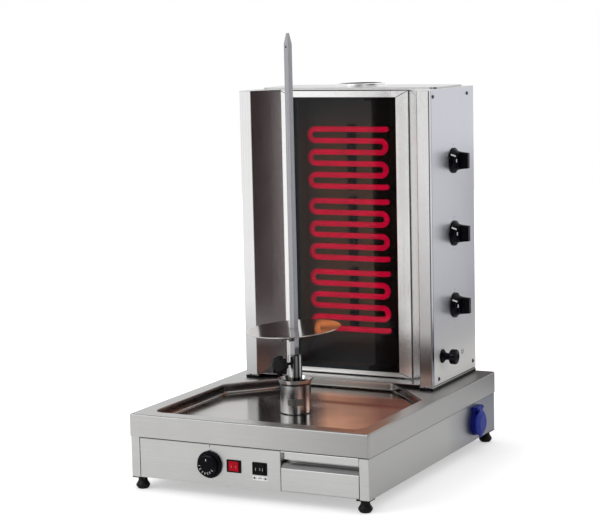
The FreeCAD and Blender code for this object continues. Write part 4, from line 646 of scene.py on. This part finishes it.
# The lip at the top is painted a flat grey over the streaks, and the band under the flare near black: painted shade
# under the rim.
shade_over(bell_painted_streaks, spread(tree, measured(tree, "Z"), bell_rim - 0.0078, bell_rim - 0.0066), (0.34, 0.33, 0.33))
under_rim = add_node(tree, "ShaderNodeMath", operation="MULTIPLY")
tree.links.new(spread(tree, measured(tree, "Z"), bell_rim - 0.0135, bell_rim - 0.0105), under_rim.inputs[0])
tree.links.new(spread(tree, measured(tree, "Z"), bell_rim - 0.0066, bell_rim - 0.0078), under_rim.inputs[1])
shade_over(bell_painted_streaks, under_rim.outputs[0], (0.05, 0.046, 0.045))
dress(["turning_bell"], bell_painted_streaks)
dress(["spit_holder"], streaked("holder_painted_streaks", ((-65, 0.35), (-38, 0.9), (-5, 0.03), (14, 0.26), (30, 0.03),
                                                   (50, 0.7), (68, 0.1)), 0.22))
spit_steel = brushed_steel("spit_steel", (0.32, 0.32, 0.34), (0.42, 0.42, 0.445), 0.28, (900, 900, 6))
tree = spit_steel.node_tree
facing = add_node(tree, "ShaderNodeTexCoord")
upright = add_node(tree, "ShaderNodeSeparateXYZ")
tree.links.new(facing.outputs["Normal"], upright.inputs[0])
# The faces of the spit below the plate that look towards +X are painted near black: painted shade.
below_plate = add_node(tree, "ShaderNodeMath", operation="MULTIPLY")
tree.links.new(spread(tree, measured(tree, "Z"), 0.268, 0.262), below_plate.inputs[0])
tree.links.new(spread(tree, upright.outputs["X"], 0.45, 0.75, 0.0, 0.85), below_plate.inputs[1])
shade_over(spit_steel, below_plate.outputs[0], (0.05, 0.048, 0.05))
dress(["spit"], spit_steel)
plate_polish = polished_steel("plate_polish", (0.48, 0.47, 0.46), (0.58, 0.57, 0.56), 0.12, 6)
dress(["meat_plate"], plate_polish)
dress(["plate_pin"], polished_steel("pin_steel", (0.07, 0.066, 0.065), (0.12, 0.115, 0.11), 0.2, 900))
star_black = black_plastic("star_black", (0.001, 0.001, 0.002), 0.1, 2500, 0.03)
star_black.node_tree.nodes["Principled BSDF"].inputs["Specular IOR Level"].default_value = 0.14
dress(["star_knob"], star_black)
dress(["gearmotor_bracket"], floor_steel)

motor_paint, tree, shader = new_material("motor_paint")
shader.inputs["Roughness"].default_value = 0.5
where = add_node(tree, "ShaderNodeTexCoord")
cast = add_node(tree, "ShaderNodeTexNoise")
cast.inputs["Scale"].default_value = 350
cast.inputs["Detail"].default_value = 4
tree.links.new(where.outputs["Object"], cast.inputs["Vector"])
greys = add_node(tree, "ShaderNodeMix", data_type="RGBA")
greys.inputs["A"].default_value = (0.035, 0.038, 0.042, 1)
greys.inputs["B"].default_value = (0.07, 0.075, 0.08, 1)
tree.links.new(cast.outputs["Fac"], greys.inputs["Factor"])
tree.links.new(greys.outputs["Result"], shader.inputs["Base Color"])
skin = add_node(tree, "ShaderNodeBump")
skin.inputs["Strength"].default_value = 0.3
skin.inputs["Distance"].default_value = 0.0006
tree.links.new(cast.outputs["Fac"], skin.inputs["Height"])
tree.links.new(skin.outputs["Normal"], shader.inputs["Normal"])
dress(["gearmotor"], motor_paint)


# Plate on the bell
# A thin bare steel plate, rolled to the bell's curve.

bell_low, bell_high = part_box("turning_bell")
bell_middle = (bell_low + bell_high) / 2
facing_angle = math.radians(-63)
bpy.ops.mesh.primitive_grid_add(x_subdivisions=16, y_subdivisions=4, size=1)
badge = bpy.context.object
for corner in badge.data.vertices:
    swing = facing_angle + corner.co.x * 0.033 / 0.031
    corner.co = Vector((bell_middle.x + 0.0313 * math.cos(swing), bell_middle.y + 0.0313 * math.sin(swing),
                        bell_low.z + 0.024 + corner.co.y * 0.0135))
wall = badge.modifiers.new("wall", "SOLIDIFY")
wall.thickness = 0.0006
wall.offset = 0
bpy.ops.object.modifier_apply(modifier="wall")
edge = badge.modifiers.new("edge", "BEVEL")
edge.width = 0.0002
edge.segments = 2
edge.angle_limit = math.radians(60)
bpy.ops.object.modifier_apply(modifier="edge")
badge_steel = brushed_steel("badge_steel", (0.14, 0.14, 0.13), (0.27, 0.27, 0.26), 0.45, (900, 900, 900))
settle(badge, "bell_plate", badge_steel, "turntable")


# Guide rails and tongues
# Bright channel section screwed to the deck, with the tower's tongues inside.

rail_steel = brushed_steel("rail_steel", (0.46, 0.46, 0.46), (0.60, 0.60, 0.60), 0.32, (5, 5, 900))
tree = rail_steel.node_tree
deck_top = worktop_high.z
# A near-black band is painted along the foot of the rails: painted shadow under the tower.
shade_over(rail_steel, spread(tree, measured(tree, "Z"), deck_top + 0.0062, deck_top + 0.0052), (0.012, 0.012, 0.012))
dress(["guide_rail_left", "guide_rail_right", "slide_tongues"], rail_steel)


# Tower shell
# Folded stainless sheets with their brushing upright: two sides, two wings with a bright
# front flange, a back, a top with a raised field and a floor with a drip lip.

# The sheet's slight blue is a painted reflection of the surround.
side_steel = brushed_steel("side_steel", (0.56, 0.565, 0.615), (0.64, 0.645, 0.70), 0.37, (900, 900, 4))
tree = side_steel.node_tree
side_front, side_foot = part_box("tower_side_right")[0].y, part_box("tower_side_right")[0].z
# Towards the foot the sheet is painted lighter and more neutral, and made less metallic: painted light.
shade_over(side_steel, spread(tree, measured(tree, "Z"), side_foot + 0.16, side_foot + 0.05, 0, 0.9), (0.90, 0.89, 0.86))
tree.links.new(spread(tree, measured(tree, "Z"), side_foot + 0.13, side_foot + 0.01, 1.0, 0.1),
               tree.nodes["Principled BSDF"].inputs["Metallic"])
# A dark line is painted along the front edge: painted shade at the joint with the wing's flange.
shade_over(side_steel, spread(tree, measured(tree, "Y"), side_front + 0.0016, side_front + 0.0008), (0.25, 0.25, 0.26))
dress(["tower_side_left", "tower_side_right", "tower_rear_cover"], side_steel)
wing_steel = brushed_steel("wing_steel", (0.76, 0.75, 0.75), (0.88, 0.87, 0.87), 0.2, (900, 900, 4))
tree = wing_steel.node_tree
facing = add_node(tree, "ShaderNodeNewGeometry")
upright = add_node(tree, "ShaderNodeSeparateXYZ")
tree.links.new(facing.outputs["Normal"], upright.inputs[0])
# Faces that look towards +X are painted darker and warmer: painted shade.
shade_over(wing_steel, spread(tree, upright.outputs["X"], 0.2, 0.4), (0.52, 0.47, 0.475))
wing_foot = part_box("wing_left")[0].z
# Towards the foot the sheet is painted darker: painted shade.
shade_over(wing_steel, spread(tree, measured(tree, "Z"), wing_foot + 0.16, wing_foot + 0.02, 0, 0.5), (0.33, 0.35, 0.365))
dress(["wing_left"], wing_steel)
right_wing_steel = brushed_steel("right_wing_steel", (0.70, 0.69, 0.69), (0.82, 0.81, 0.81), 0.2, (900, 900, 4))
tree = right_wing_steel.node_tree
wing_low, wing_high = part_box("wing_right")


def heat_band(material, foot, colour, amount):
    """A brown band on the sheet just above the deck."""
    tree = material.node_tree
    band = add_node(tree, "ShaderNodeMath", operation="MULTIPLY")
    tree.links.new(spread(tree, measured(tree, "Z"), foot + 0.014, foot + 0.034, 0.25, 1.0), band.inputs[0])
    tree.links.new(spread(tree, measured(tree, "Z"), foot + 0.11, foot + 0.075, 0.0, amount), band.inputs[1])
    shade_over(material, band.outputs[0], colour)


heat_band(right_wing_steel, wing_low.z, (0.20, 0.165, 0.155), 0.9)
# Towards the foot the sheet is painted darker: painted shade.
shade_over(right_wing_steel, spread(tree, measured(tree, "Z"), wing_low.z + 0.45, wing_low.z + 0.05, 0, 0.55), (0.17, 0.155, 0.155))
frame_low, frame_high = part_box("glass_frame")
facing = add_node(tree, "ShaderNodeNewGeometry")
upright = add_node(tree, "ShaderNodeSeparateXYZ")
tree.links.new(facing.outputs["Normal"], upright.inputs[0])
# The sloped face that looks towards -X is painted darker: painted shade.
shade_over(right_wing_steel, spread(tree, upright.outputs["X"], -0.7, -0.78, 0.0, 0.8), (0.50, 0.50, 0.51))
# A dark line is painted along the wing's inner edge beside the glass frame: painted shade at the joint.
inner_seam = spread(tree, measured(tree, "X"), frame_high.x + 0.0022, frame_high.x + 0.0008)
shade_over(right_wing_steel, inner_seam, (0.24, 0.235, 0.235))
# The two bends are painted darker: painted shade in the folds.
for start, stop, depth in ((-0.08, -0.25, 0.75), (0.15, 0.4, 0.85)):
    bend = add_node(tree, "ShaderNodeMath", operation="MULTIPLY")
    tree.links.new(spread(tree, upright.outputs["X"], start, stop, 0.0, depth), bend.inputs[0])
    tree.links.new(spread(tree, upright.outputs["X"], start * 0 + (-0.79 if start < 0 else 0.97),
                          -0.7 if start < 0 else 0.85), bend.inputs[1])
    shade_over(right_wing_steel, bend.outputs[0], (0.16, 0.155, 0.155))
# The return that looks towards +X is painted in the side sheet's blue-grey: a painted reflection.
shade_over(right_wing_steel, spread(tree, upright.outputs["X"], 0.9, 0.98), (0.58, 0.585, 0.63))
dress(["wing_right"], right_wing_steel)
top_steel = brushed_steel("top_steel", (0.50, 0.50, 0.50), (0.62, 0.62, 0.62), 0.3, (5, 900, 5))
dress(["tower_top", "tower_floor"], top_steel)
ring_steel = brushed_steel("ring_steel", (0.88, 0.88, 0.88), (0.94, 0.94, 0.94), 0.3, (5, 900, 5))
tree = ring_steel.node_tree
ring_low, ring_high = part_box("vent_ring")
from_axis = add_node(tree, "ShaderNodeTexCoord")
centred = add_node(tree, "ShaderNodeVectorMath", operation="SUBTRACT")
centred.inputs[1].default_value = ((ring_low.x + ring_high.x) / 2, (ring_low.y + ring_high.y) / 2, 0)
tree.links.new(from_axis.outputs["Object"], centred.inputs[0])
level_only = add_node(tree, "ShaderNodeVectorMath", operation="MULTIPLY")
level_only.inputs[1].default_value = (1, 1, 0)
tree.links.new(centred.outputs[0], level_only.inputs[0])
radius = add_node(tree, "ShaderNodeVectorMath", operation="LENGTH")
tree.links.new(level_only.outputs[0], radius.inputs[0])
# Inside its opening the ring is painted near black: painted shade in the hole.
shade_over(ring_steel, spread(tree, radius.outputs["Value"], 0.0468, 0.0464), (0.015, 0.013, 0.012))
dress(["vent_ring"], ring_steel)
dress(["clamp_nut", "clamp_sleeve"], bell_polish)
dress(["side_screws"], polished_steel("screw_zinc", (0.09, 0.09, 0.13), (0.22, 0.22, 0.27), 0.25, 1500))


# Glass and its frame
# Four mitred bars hold a dark ceramic glass. It lets the glow through and little else.

frame_steel = brushed_steel("frame_steel", (0.90, 0.89, 0.885), (0.97, 0.965, 0.96), 0.2, (900, 900, 4))
tree = frame_steel.node_tree
frame_middle = (frame_low.x + frame_high.x) / 2
off_middle = add_node(tree, "ShaderNodeMath", operation="SUBTRACT")
off_middle.inputs[1].default_value = frame_middle
tree.links.new(measured(tree, "X"), off_middle.inputs[0])
mirrored = add_node(tree, "ShaderNodeMath", operation="ABSOLUTE")
tree.links.new(off_middle.outputs[0], mirrored.inputs[0])
half_frame = frame_high.x - frame_middle
across_stile = spread(tree, mirrored.outputs[0], half_frame, half_frame - 0.0288)
# A dark line is painted along each inside mitre: painted shade in the joints.
for edge, inner in ((frame_high.z, frame_high.z - 0.014), (frame_low.z, frame_low.z + 0.0098)):
    across_rail = spread(tree, measured(tree, "Z"), edge, inner)
    apart = add_node(tree, "ShaderNodeMath", operation="SUBTRACT")
    tree.links.new(across_stile, apart.inputs[0])
    tree.links.new(across_rail, apart.inputs[1])
    gap = add_node(tree, "ShaderNodeMath", operation="ABSOLUTE")
    tree.links.new(apart.outputs[0], gap.inputs[0])
    inside_corner = add_node(tree, "ShaderNodeMath", operation="MULTIPLY")
    tree.links.new(spread(tree, gap.outputs[0], 0.07, 0.03), inside_corner.inputs[0])
    tree.links.new(spread(tree, across_rail, 0.999, 0.99), inside_corner.inputs[1])
    shade_over(frame_steel, inside_corner.outputs[0], (0.16, 0.16, 0.16))
heat_band(frame_steel, frame_low.z, (0.64, 0.60, 0.585), 0.7)
dress(["glass_frame"], frame_steel)
dark_glass, tree, shader = new_material("dark_glass")
shader.inputs["Roughness"].default_value = 0.04
shader.inputs["IOR"].default_value = 1.45
shader.inputs["Specular IOR Level"].default_value = 0.36
shader.inputs["Alpha"].default_value = 0.42
where = add_node(tree, "ShaderNodeTexCoord")
tint = add_node(tree, "ShaderNodeTexNoise")
tint.inputs["Scale"].default_value = 5
tree.links.new(where.outputs["Object"], tint.inputs["Vector"])
tints = add_node(tree, "ShaderNodeMix", data_type="RGBA")
tints.inputs["A"].default_value = (0.004, 0.004, 0.005, 1)
tints.inputs["B"].default_value = (0.010, 0.009, 0.009, 1)
tree.links.new(tint.outputs["Fac"], tints.inputs["Factor"])
tree.links.new(tints.outputs["Result"], shader.inputs["Base Color"])
dress(["glass_panel"], dark_glass)


# Heating elements
# Tubular elements glow crimson behind the glass, held by combs in a dark tray.

glow, tree, shader = new_material("element_glow")
shader.inputs["Base Color"].default_value = (0.03, 0.006, 0.007, 1)
shader.inputs["Roughness"].default_value = 0.8
shader.inputs["Specular IOR Level"].default_value = 0.1
where = add_node(tree, "ShaderNodeTexCoord")
mottle = add_node(tree, "ShaderNodeTexNoise")
mottle.inputs["Scale"].default_value = 38
tree.links.new(where.outputs["Object"], mottle.inputs["Vector"])
heat = add_node(tree, "ShaderNodeMix", data_type="RGBA")
heat.inputs["A"].default_value = (1.12, 0.0, 0.058, 1)
heat.inputs["B"].default_value = (1.45, 0.0, 0.080, 1)
tree.links.new(spread(tree, mottle.outputs["Fac"], 0.35, 0.65), heat.inputs["Factor"])
# The glow is dimmer where a tube turns away from the view: painted shade.
edge_on = add_node(tree, "ShaderNodeLayerWeight")
edge_on.inputs["Blend"].default_value = 0.3
dim = add_node(tree, "ShaderNodeMix", data_type="RGBA")
dim.inputs["B"].default_value = (0.30, 0.0, 0.020, 1)
tree.links.new(edge_on.outputs["Facing"], dim.inputs["Factor"])
tree.links.new(heat.outputs["Result"], dim.inputs["A"])
element_low, element_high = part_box("heating_element_top")
place = add_node(tree, "ShaderNodeSeparateXYZ")
tree.links.new(where.outputs["Object"], place.inputs[0])
# Only the half of each tube towards the glass is given a glow, and the left bends less of it: painted light on the
# side in view.
camera_side_half = spread(tree, place.outputs["Y"], element_low.y + 0.0120, element_low.y + 0.0098)
left_bends = spread(tree, place.outputs["X"], element_low.x, element_low.x + 0.024, 0.45, 1.0)
live = add_node(tree, "ShaderNodeMath", operation="MULTIPLY")
tree.links.new(camera_side_half, live.inputs[0])
tree.links.new(left_bends, live.inputs[1])
# To the camera the glow is crimson; to every other ray it is orange, so its reflections are painted orange.
path = add_node(tree, "ShaderNodeLightPath")
orange = add_node(tree, "ShaderNodeMix", data_type="RGBA")
orange.inputs["A"].default_value = (2.9, 0.88, 0.28, 1)
tree.links.new(path.outputs["Is Camera Ray"], orange.inputs["Factor"])
tree.links.new(dim.outputs["Result"], orange.inputs["B"])
lit = add_node(tree, "ShaderNodeMix", data_type="RGBA")
lit.inputs["A"].default_value = (0.0, 0.0, 0.0, 1)
tree.links.new(live.outputs[0], lit.inputs["Factor"])
tree.links.new(orange.outputs["Result"], lit.inputs["B"])
tree.links.new(lit.outputs["Result"], shader.inputs["Emission Color"])
shader.inputs["Emission Strength"].default_value = 1.0
dress(["heating_element_top", "heating_element_middle", "heating_element_bottom"], glow)
near_black_steel = brushed_steel("near_black_steel", (0.006, 0.006, 0.006), (0.013, 0.012, 0.012), 0.6, (5, 5, 500))
dress(["element_combs", "terminal_bushings"], near_black_steel)
heater_tray_finish = brushed_steel("heater_tray_steel", (0.006, 0.006, 0.006), (0.013, 0.012, 0.012), 0.6, (5, 5, 500))
tree = heater_tray_finish.node_tree
tree.nodes["Principled BSDF"].inputs["Metallic"].default_value = 0.0
tree.nodes["Principled BSDF"].inputs["Specular IOR Level"].default_value = 0.0
# The tray is black, with its left part painted a lighter blue-grey: painted light, ending in a sharp edge where the
# right wing's shadow would fall.
shade_over(heater_tray_finish, spread(tree, measured(tree, "X"), 0.0365, 0.0335), (0.115, 0.150, 0.172))
dress(["heater_tray"], heater_tray_finish)
board_white, tree, shader = new_material("board_white")
shader.inputs["Roughness"].default_value = 0.9
where = add_node(tree, "ShaderNodeTexCoord")
fibre = add_node(tree, "ShaderNodeTexNoise")
fibre.inputs["Scale"].default_value = 220
fibre.inputs["Detail"].default_value = 6
tree.links.new(where.outputs["Object"], fibre.inputs["Vector"])
board = add_node(tree, "ShaderNodeMix", data_type="RGBA")
board.inputs["A"].default_value = (0.55, 0.52, 0.46, 1)
board.inputs["B"].default_value = (0.75, 0.73, 0.68, 1)
tree.links.new(fibre.outputs["Fac"], board.inputs["Factor"])
tree.links.new(board.outputs["Result"], shader.inputs["Base Color"])
dress(["insulation_board", "terminal_block"], board_white)


# Selector knobs
# Gloss black bar knobs with a white pointer dash on the cone and a small white mark on the neck. Small ticks are
# printed on the side sheet above and below each one.

dress(["selector_knob_top", "selector_knob_middle", "selector_knob_bottom", "clamp_knob"], knob_black)
side_low, side_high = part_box("tower_side_right")
for level in ("top", "middle", "bottom"):
    name = "selector_knob_" + level
    low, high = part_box(name)
    middle = Vector((high.x + 0.05, (low.y + high.y) / 2, (low.z + high.z) / 2))
    radial = Vector((0, -math.sin(math.radians(59)), math.cos(math.radians(59))))
    rim, outward = met(name, middle + radial * 0.0263, (-1, 0, 0))
    neck, outward = met(name, middle + radial * 0.0192, (-1, 0, 0))
    halfway, outward = met(name, middle + radial * 0.0232, (-1, 0, 0))
    dash = slab(0.0032, (neck - rim).length, 0.0008, 0.0002)
    dash = laid(dash, (rim + neck) / 2, outward, rim - neck)
    spot, outward = met(name, middle + Vector((0, -0.0188, 0.001)), (-1, 0, 0))
    dot = laid(slab(0.0022, 0.0066, 0.0006, 0.0002), spot, outward, upward)
    settle(joined([dash, dot]), "selector_white_marks_" + level, print_white, name)
    ticks = []
    for height_above, tall in ((0.0335, 0.0042), (-0.0325, 0.0014)):
        spot = (side_high.x, middle.y, middle.z + height_above)
        ticks.append(laid(slab(0.0009, tall, 0.0002, 0.00006), spot, (1, 0, 0), upward))
    settle(joined(ticks), "selector_ticks_" + level, print_dark, "tower")


# Rivets in the tower's sides
# Low polished domes that hold the inner bracket of each side.

for side, face in ((1, side_high.x), (-1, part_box("tower_side_left")[0].x)):
    bpy.ops.mesh.primitive_uv_sphere_add(segments=24, ring_count=12, radius=0.0062)
    dome = bpy.context.object
    dome.scale = (0.5, 1, 1)
    dome.location = (face, 0.247 - 0.00195, 0.209)
    bpy.ops.object.shade_smooth()
    settle(dome, "side_rivet_right" if side > 0 else "side_rivet_left", bell_polish, "tower")


# Socket outlet
# Blue moulding with a sprung lid.

def blue_plastic(name, dark, light):
    """Blue moulded plastic with soft handling marks."""
    material, tree, shader = new_material(name)
    shader.inputs["Specular IOR Level"].default_value = 0.15
    where = add_node(tree, "ShaderNodeTexCoord")
    cloud = add_node(tree, "ShaderNodeTexNoise")
    cloud.inputs["Scale"].default_value = 45
    cloud.inputs["Detail"].default_value = 3
    tree.links.new(where.outputs["Object"], cloud.inputs["Vector"])
    blues = add_node(tree, "ShaderNodeMix", data_type="RGBA")
    blues.inputs["A"].default_value = (*dark, 1)
    blues.inputs["B"].default_value = (*light, 1)
    tree.links.new(spread(tree, cloud.outputs["Fac"], 0.3, 0.7), blues.inputs["Factor"])
    tree.links.new(blues.outputs["Result"], shader.inputs["Base Color"])
    tree.links.new(spread(tree, cloud.outputs["Fac"], 0.3, 0.7, 0.38, 0.5), shader.inputs["Roughness"])
    return material


dress(["outlet_socket"], blue_plastic("socket_blue", (0.003, 0.008, 0.14), (0.007, 0.015, 0.19)))
dress(["outlet_lid"], blue_plastic("lid_blue", (0.018, 0.030, 0.24), (0.030, 0.048, 0.32)))


# Cable gland
# Black nylon gland on the rear panel.

dress(["cable_gland"], black_plastic("gland_nylon", (0.012, 0.012, 0.012), 0.5, 1200, 0.1))


# Floor, lamps and camera
# A pale studio floor under a white surround, three soft lamps, and matt flags that stand out
# of view, so that polished metal and glass have something dark to show. The camera stands
# where the photographer did.

def whenever(tree, *rays):
    """One for the kinds of ray that are named, and nought for the others."""
    path = add_node(tree, "ShaderNodeLightPath")
    value = path.outputs[rays[0]]
    for ray in rays[1:]:
        either = add_node(tree, "ShaderNodeMath", operation="MAXIMUM")
        tree.links.new(value, either.inputs[0])
        tree.links.new(path.outputs[ray], either.inputs[1])
        value = either.outputs[0]
    return value


bpy.ops.mesh.primitive_circle_add(vertices=96, radius=6, fill_type="NGON", location=(0, 0, 0))
ground = bpy.context.object
ground.name = "studio_floor"
paper, tree, shader = new_material("floor_paper")
shader.inputs["Base Color"].default_value = (0.80, 0.80, 0.80, 1)
shader.inputs["Roughness"].default_value = 1.0
shader.inputs["Specular IOR Level"].default_value = 0.0
where = add_node(tree, "ShaderNodeTexCoord")
away = add_node(tree, "ShaderNodeVectorMath", operation="LENGTH")
tree.links.new(where.outputs["Object"], away.inputs[0])
lift = None
for ray, start, stop, near, far in (("Is Camera Ray", 0.4, 1.4, 0.42, 0.9),
                                    ("Is Glossy Ray", 1.6, 5.8, 0.05, 0.55),
                                    ("Is Transmission Ray", 0.4, 1.4, 0.42, 0.9)):
    part = add_node(tree, "ShaderNodeMath", operation="MULTIPLY")
    tree.links.new(spread(tree, away.outputs["Value"], start, stop, near, far), part.inputs[0])
    tree.links.new(whenever(tree, ray), part.inputs[1])
    if lift is None:
        lift = part.outputs[0]
    else:
        total = add_node(tree, "ShaderNodeMath", operation="ADD")
        tree.links.new(lift, total.inputs[0])
        tree.links.new(part.outputs[0], total.inputs[1])
        lift = total.outputs[0]
shader.inputs["Emission Color"].default_value = (1, 1, 1, 1)
tree.links.new(lift, shader.inputs["Emission Strength"])
ground.data.materials.append(paper)
ground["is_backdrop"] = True

world = bpy.data.worlds.new("studio")
bpy.context.scene.world = world
world.use_nodes = True
tree = world.node_tree
sky = tree.nodes["Background"]
tree.links.new(spread(tree, whenever(tree, "Is Camera Ray", "Is Glossy Ray", "Is Transmission Ray"), 0, 1, 0.72, 1.0),
               sky.inputs["Strength"])
sky.inputs["Color"].default_value = (1, 1, 1, 1)


def flag(name, start, stop, low, high, shade, reach=0.0):
    """A matt card between two points of the floor, seen by polished metal and glass alone."""
    bpy.ops.mesh.primitive_grid_add(x_subdivisions=2, y_subdivisions=2, size=1)
    card = bpy.context.object
    for corner in card.data.vertices:
        along, above = corner.co.x + 0.5, corner.co.y + 0.5
        corner.co = Vector((start[0] + (stop[0] - start[0]) * along, start[1] + (stop[1] - start[1]) * along
                            + reach * above, low + (high - low) * above))
    card.name = name
    cloth, tree, shader = new_material(name)
    shader.inputs["Base Color"].default_value = (0, 0, 0, 1)
    shader.inputs["Roughness"].default_value = 1.0
    shader.inputs["Specular IOR Level"].default_value = 0.0
    shader.inputs["Emission Color"].default_value = (*shade, 1)
    shader.inputs["Emission Strength"].default_value = 1.0
    card.data.materials.append(cloth)
    card.visible_camera = False
    card.visible_diffuse = False
    card.visible_shadow = False
    card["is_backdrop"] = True


flag("flag_right", (1.25, -0.95), (1.25, 0.38), 0.0, 1.8, (0.050, 0.038, 0.038))
flag("flag_behind_left", (-1.9, 0.7), (-0.30, 0.7), 0.02, 0.20, (0.050, 0.038, 0.036))
flag("flag_behind_right", (-0.30, 0.7), (0.36, 0.7), 0.02, 0.60, (0.15, 0.14, 0.14))
flag("flag_front", (0.08, -1.55), (0.86, -1.25), 0.0, 1.3, (0.07, 0.07, 0.07))
flag("flag_glass", (-0.552, -1.2), (-0.466, -1.2), 0.05, 1.0, (0.0, 0.0, 0.0))
flag("flag_above", (-1.4, -1.1), (0.5, -1.1), 2.0, 2.0, (0.10, 0.10, 0.10), reach=1.5)
flag("flag_low", (0.42, 0.95), (0.82, 0.95), 0.0, 0.13, (0.06, 0.07, 0.10))
for name, spot, size, power in (("key_lamp", (-1.6, -2.6, 2.6), 1.8, 34), ("side_lamp", (2.8, -0.6, 2.6), 1.6, 7),
                                ("back_lamp", (-0.6, 2.4, 3.0), 1.6, 8)):
    bpy.ops.object.light_add(type="AREA", location=spot)
    lamp = bpy.context.object
    lamp.name = name
    lamp.data.size = size
    lamp.data.energy = power
    aim = Vector((0, 0, 0.35)) - Vector(spot)
    lamp.rotation_euler = aim.to_track_quat("-Z", "Y").to_euler()

bpy.ops.object.camera_add()
camera = bpy.context.object
camera.name = "photo_camera"
right = Vector((0.89307, 0.44938, -0.02205))
up = Vector((-0.04045, 0.12901, 0.99082))
ahead = Vector((-0.44810, 0.88398, -0.13339))
stand = Vector((1.657 - 0.00915, -3.349 - 0.00195, 0.918))
camera.matrix_world = Matrix(((right.x, up.x, -ahead.x, stand.x), (right.y, up.y, -ahead.y, stand.y),
                              (right.z, up.z, -ahead.z, stand.z), (0, 0, 0, 1)))
camera.data.sensor_width = 36
camera.data.lens = 110.4
camera.data.clip_end = 50
bpy.context.scene.camera = camera
bpy.context.scene.view_settings.view_transform = "Standard"

low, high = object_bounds()
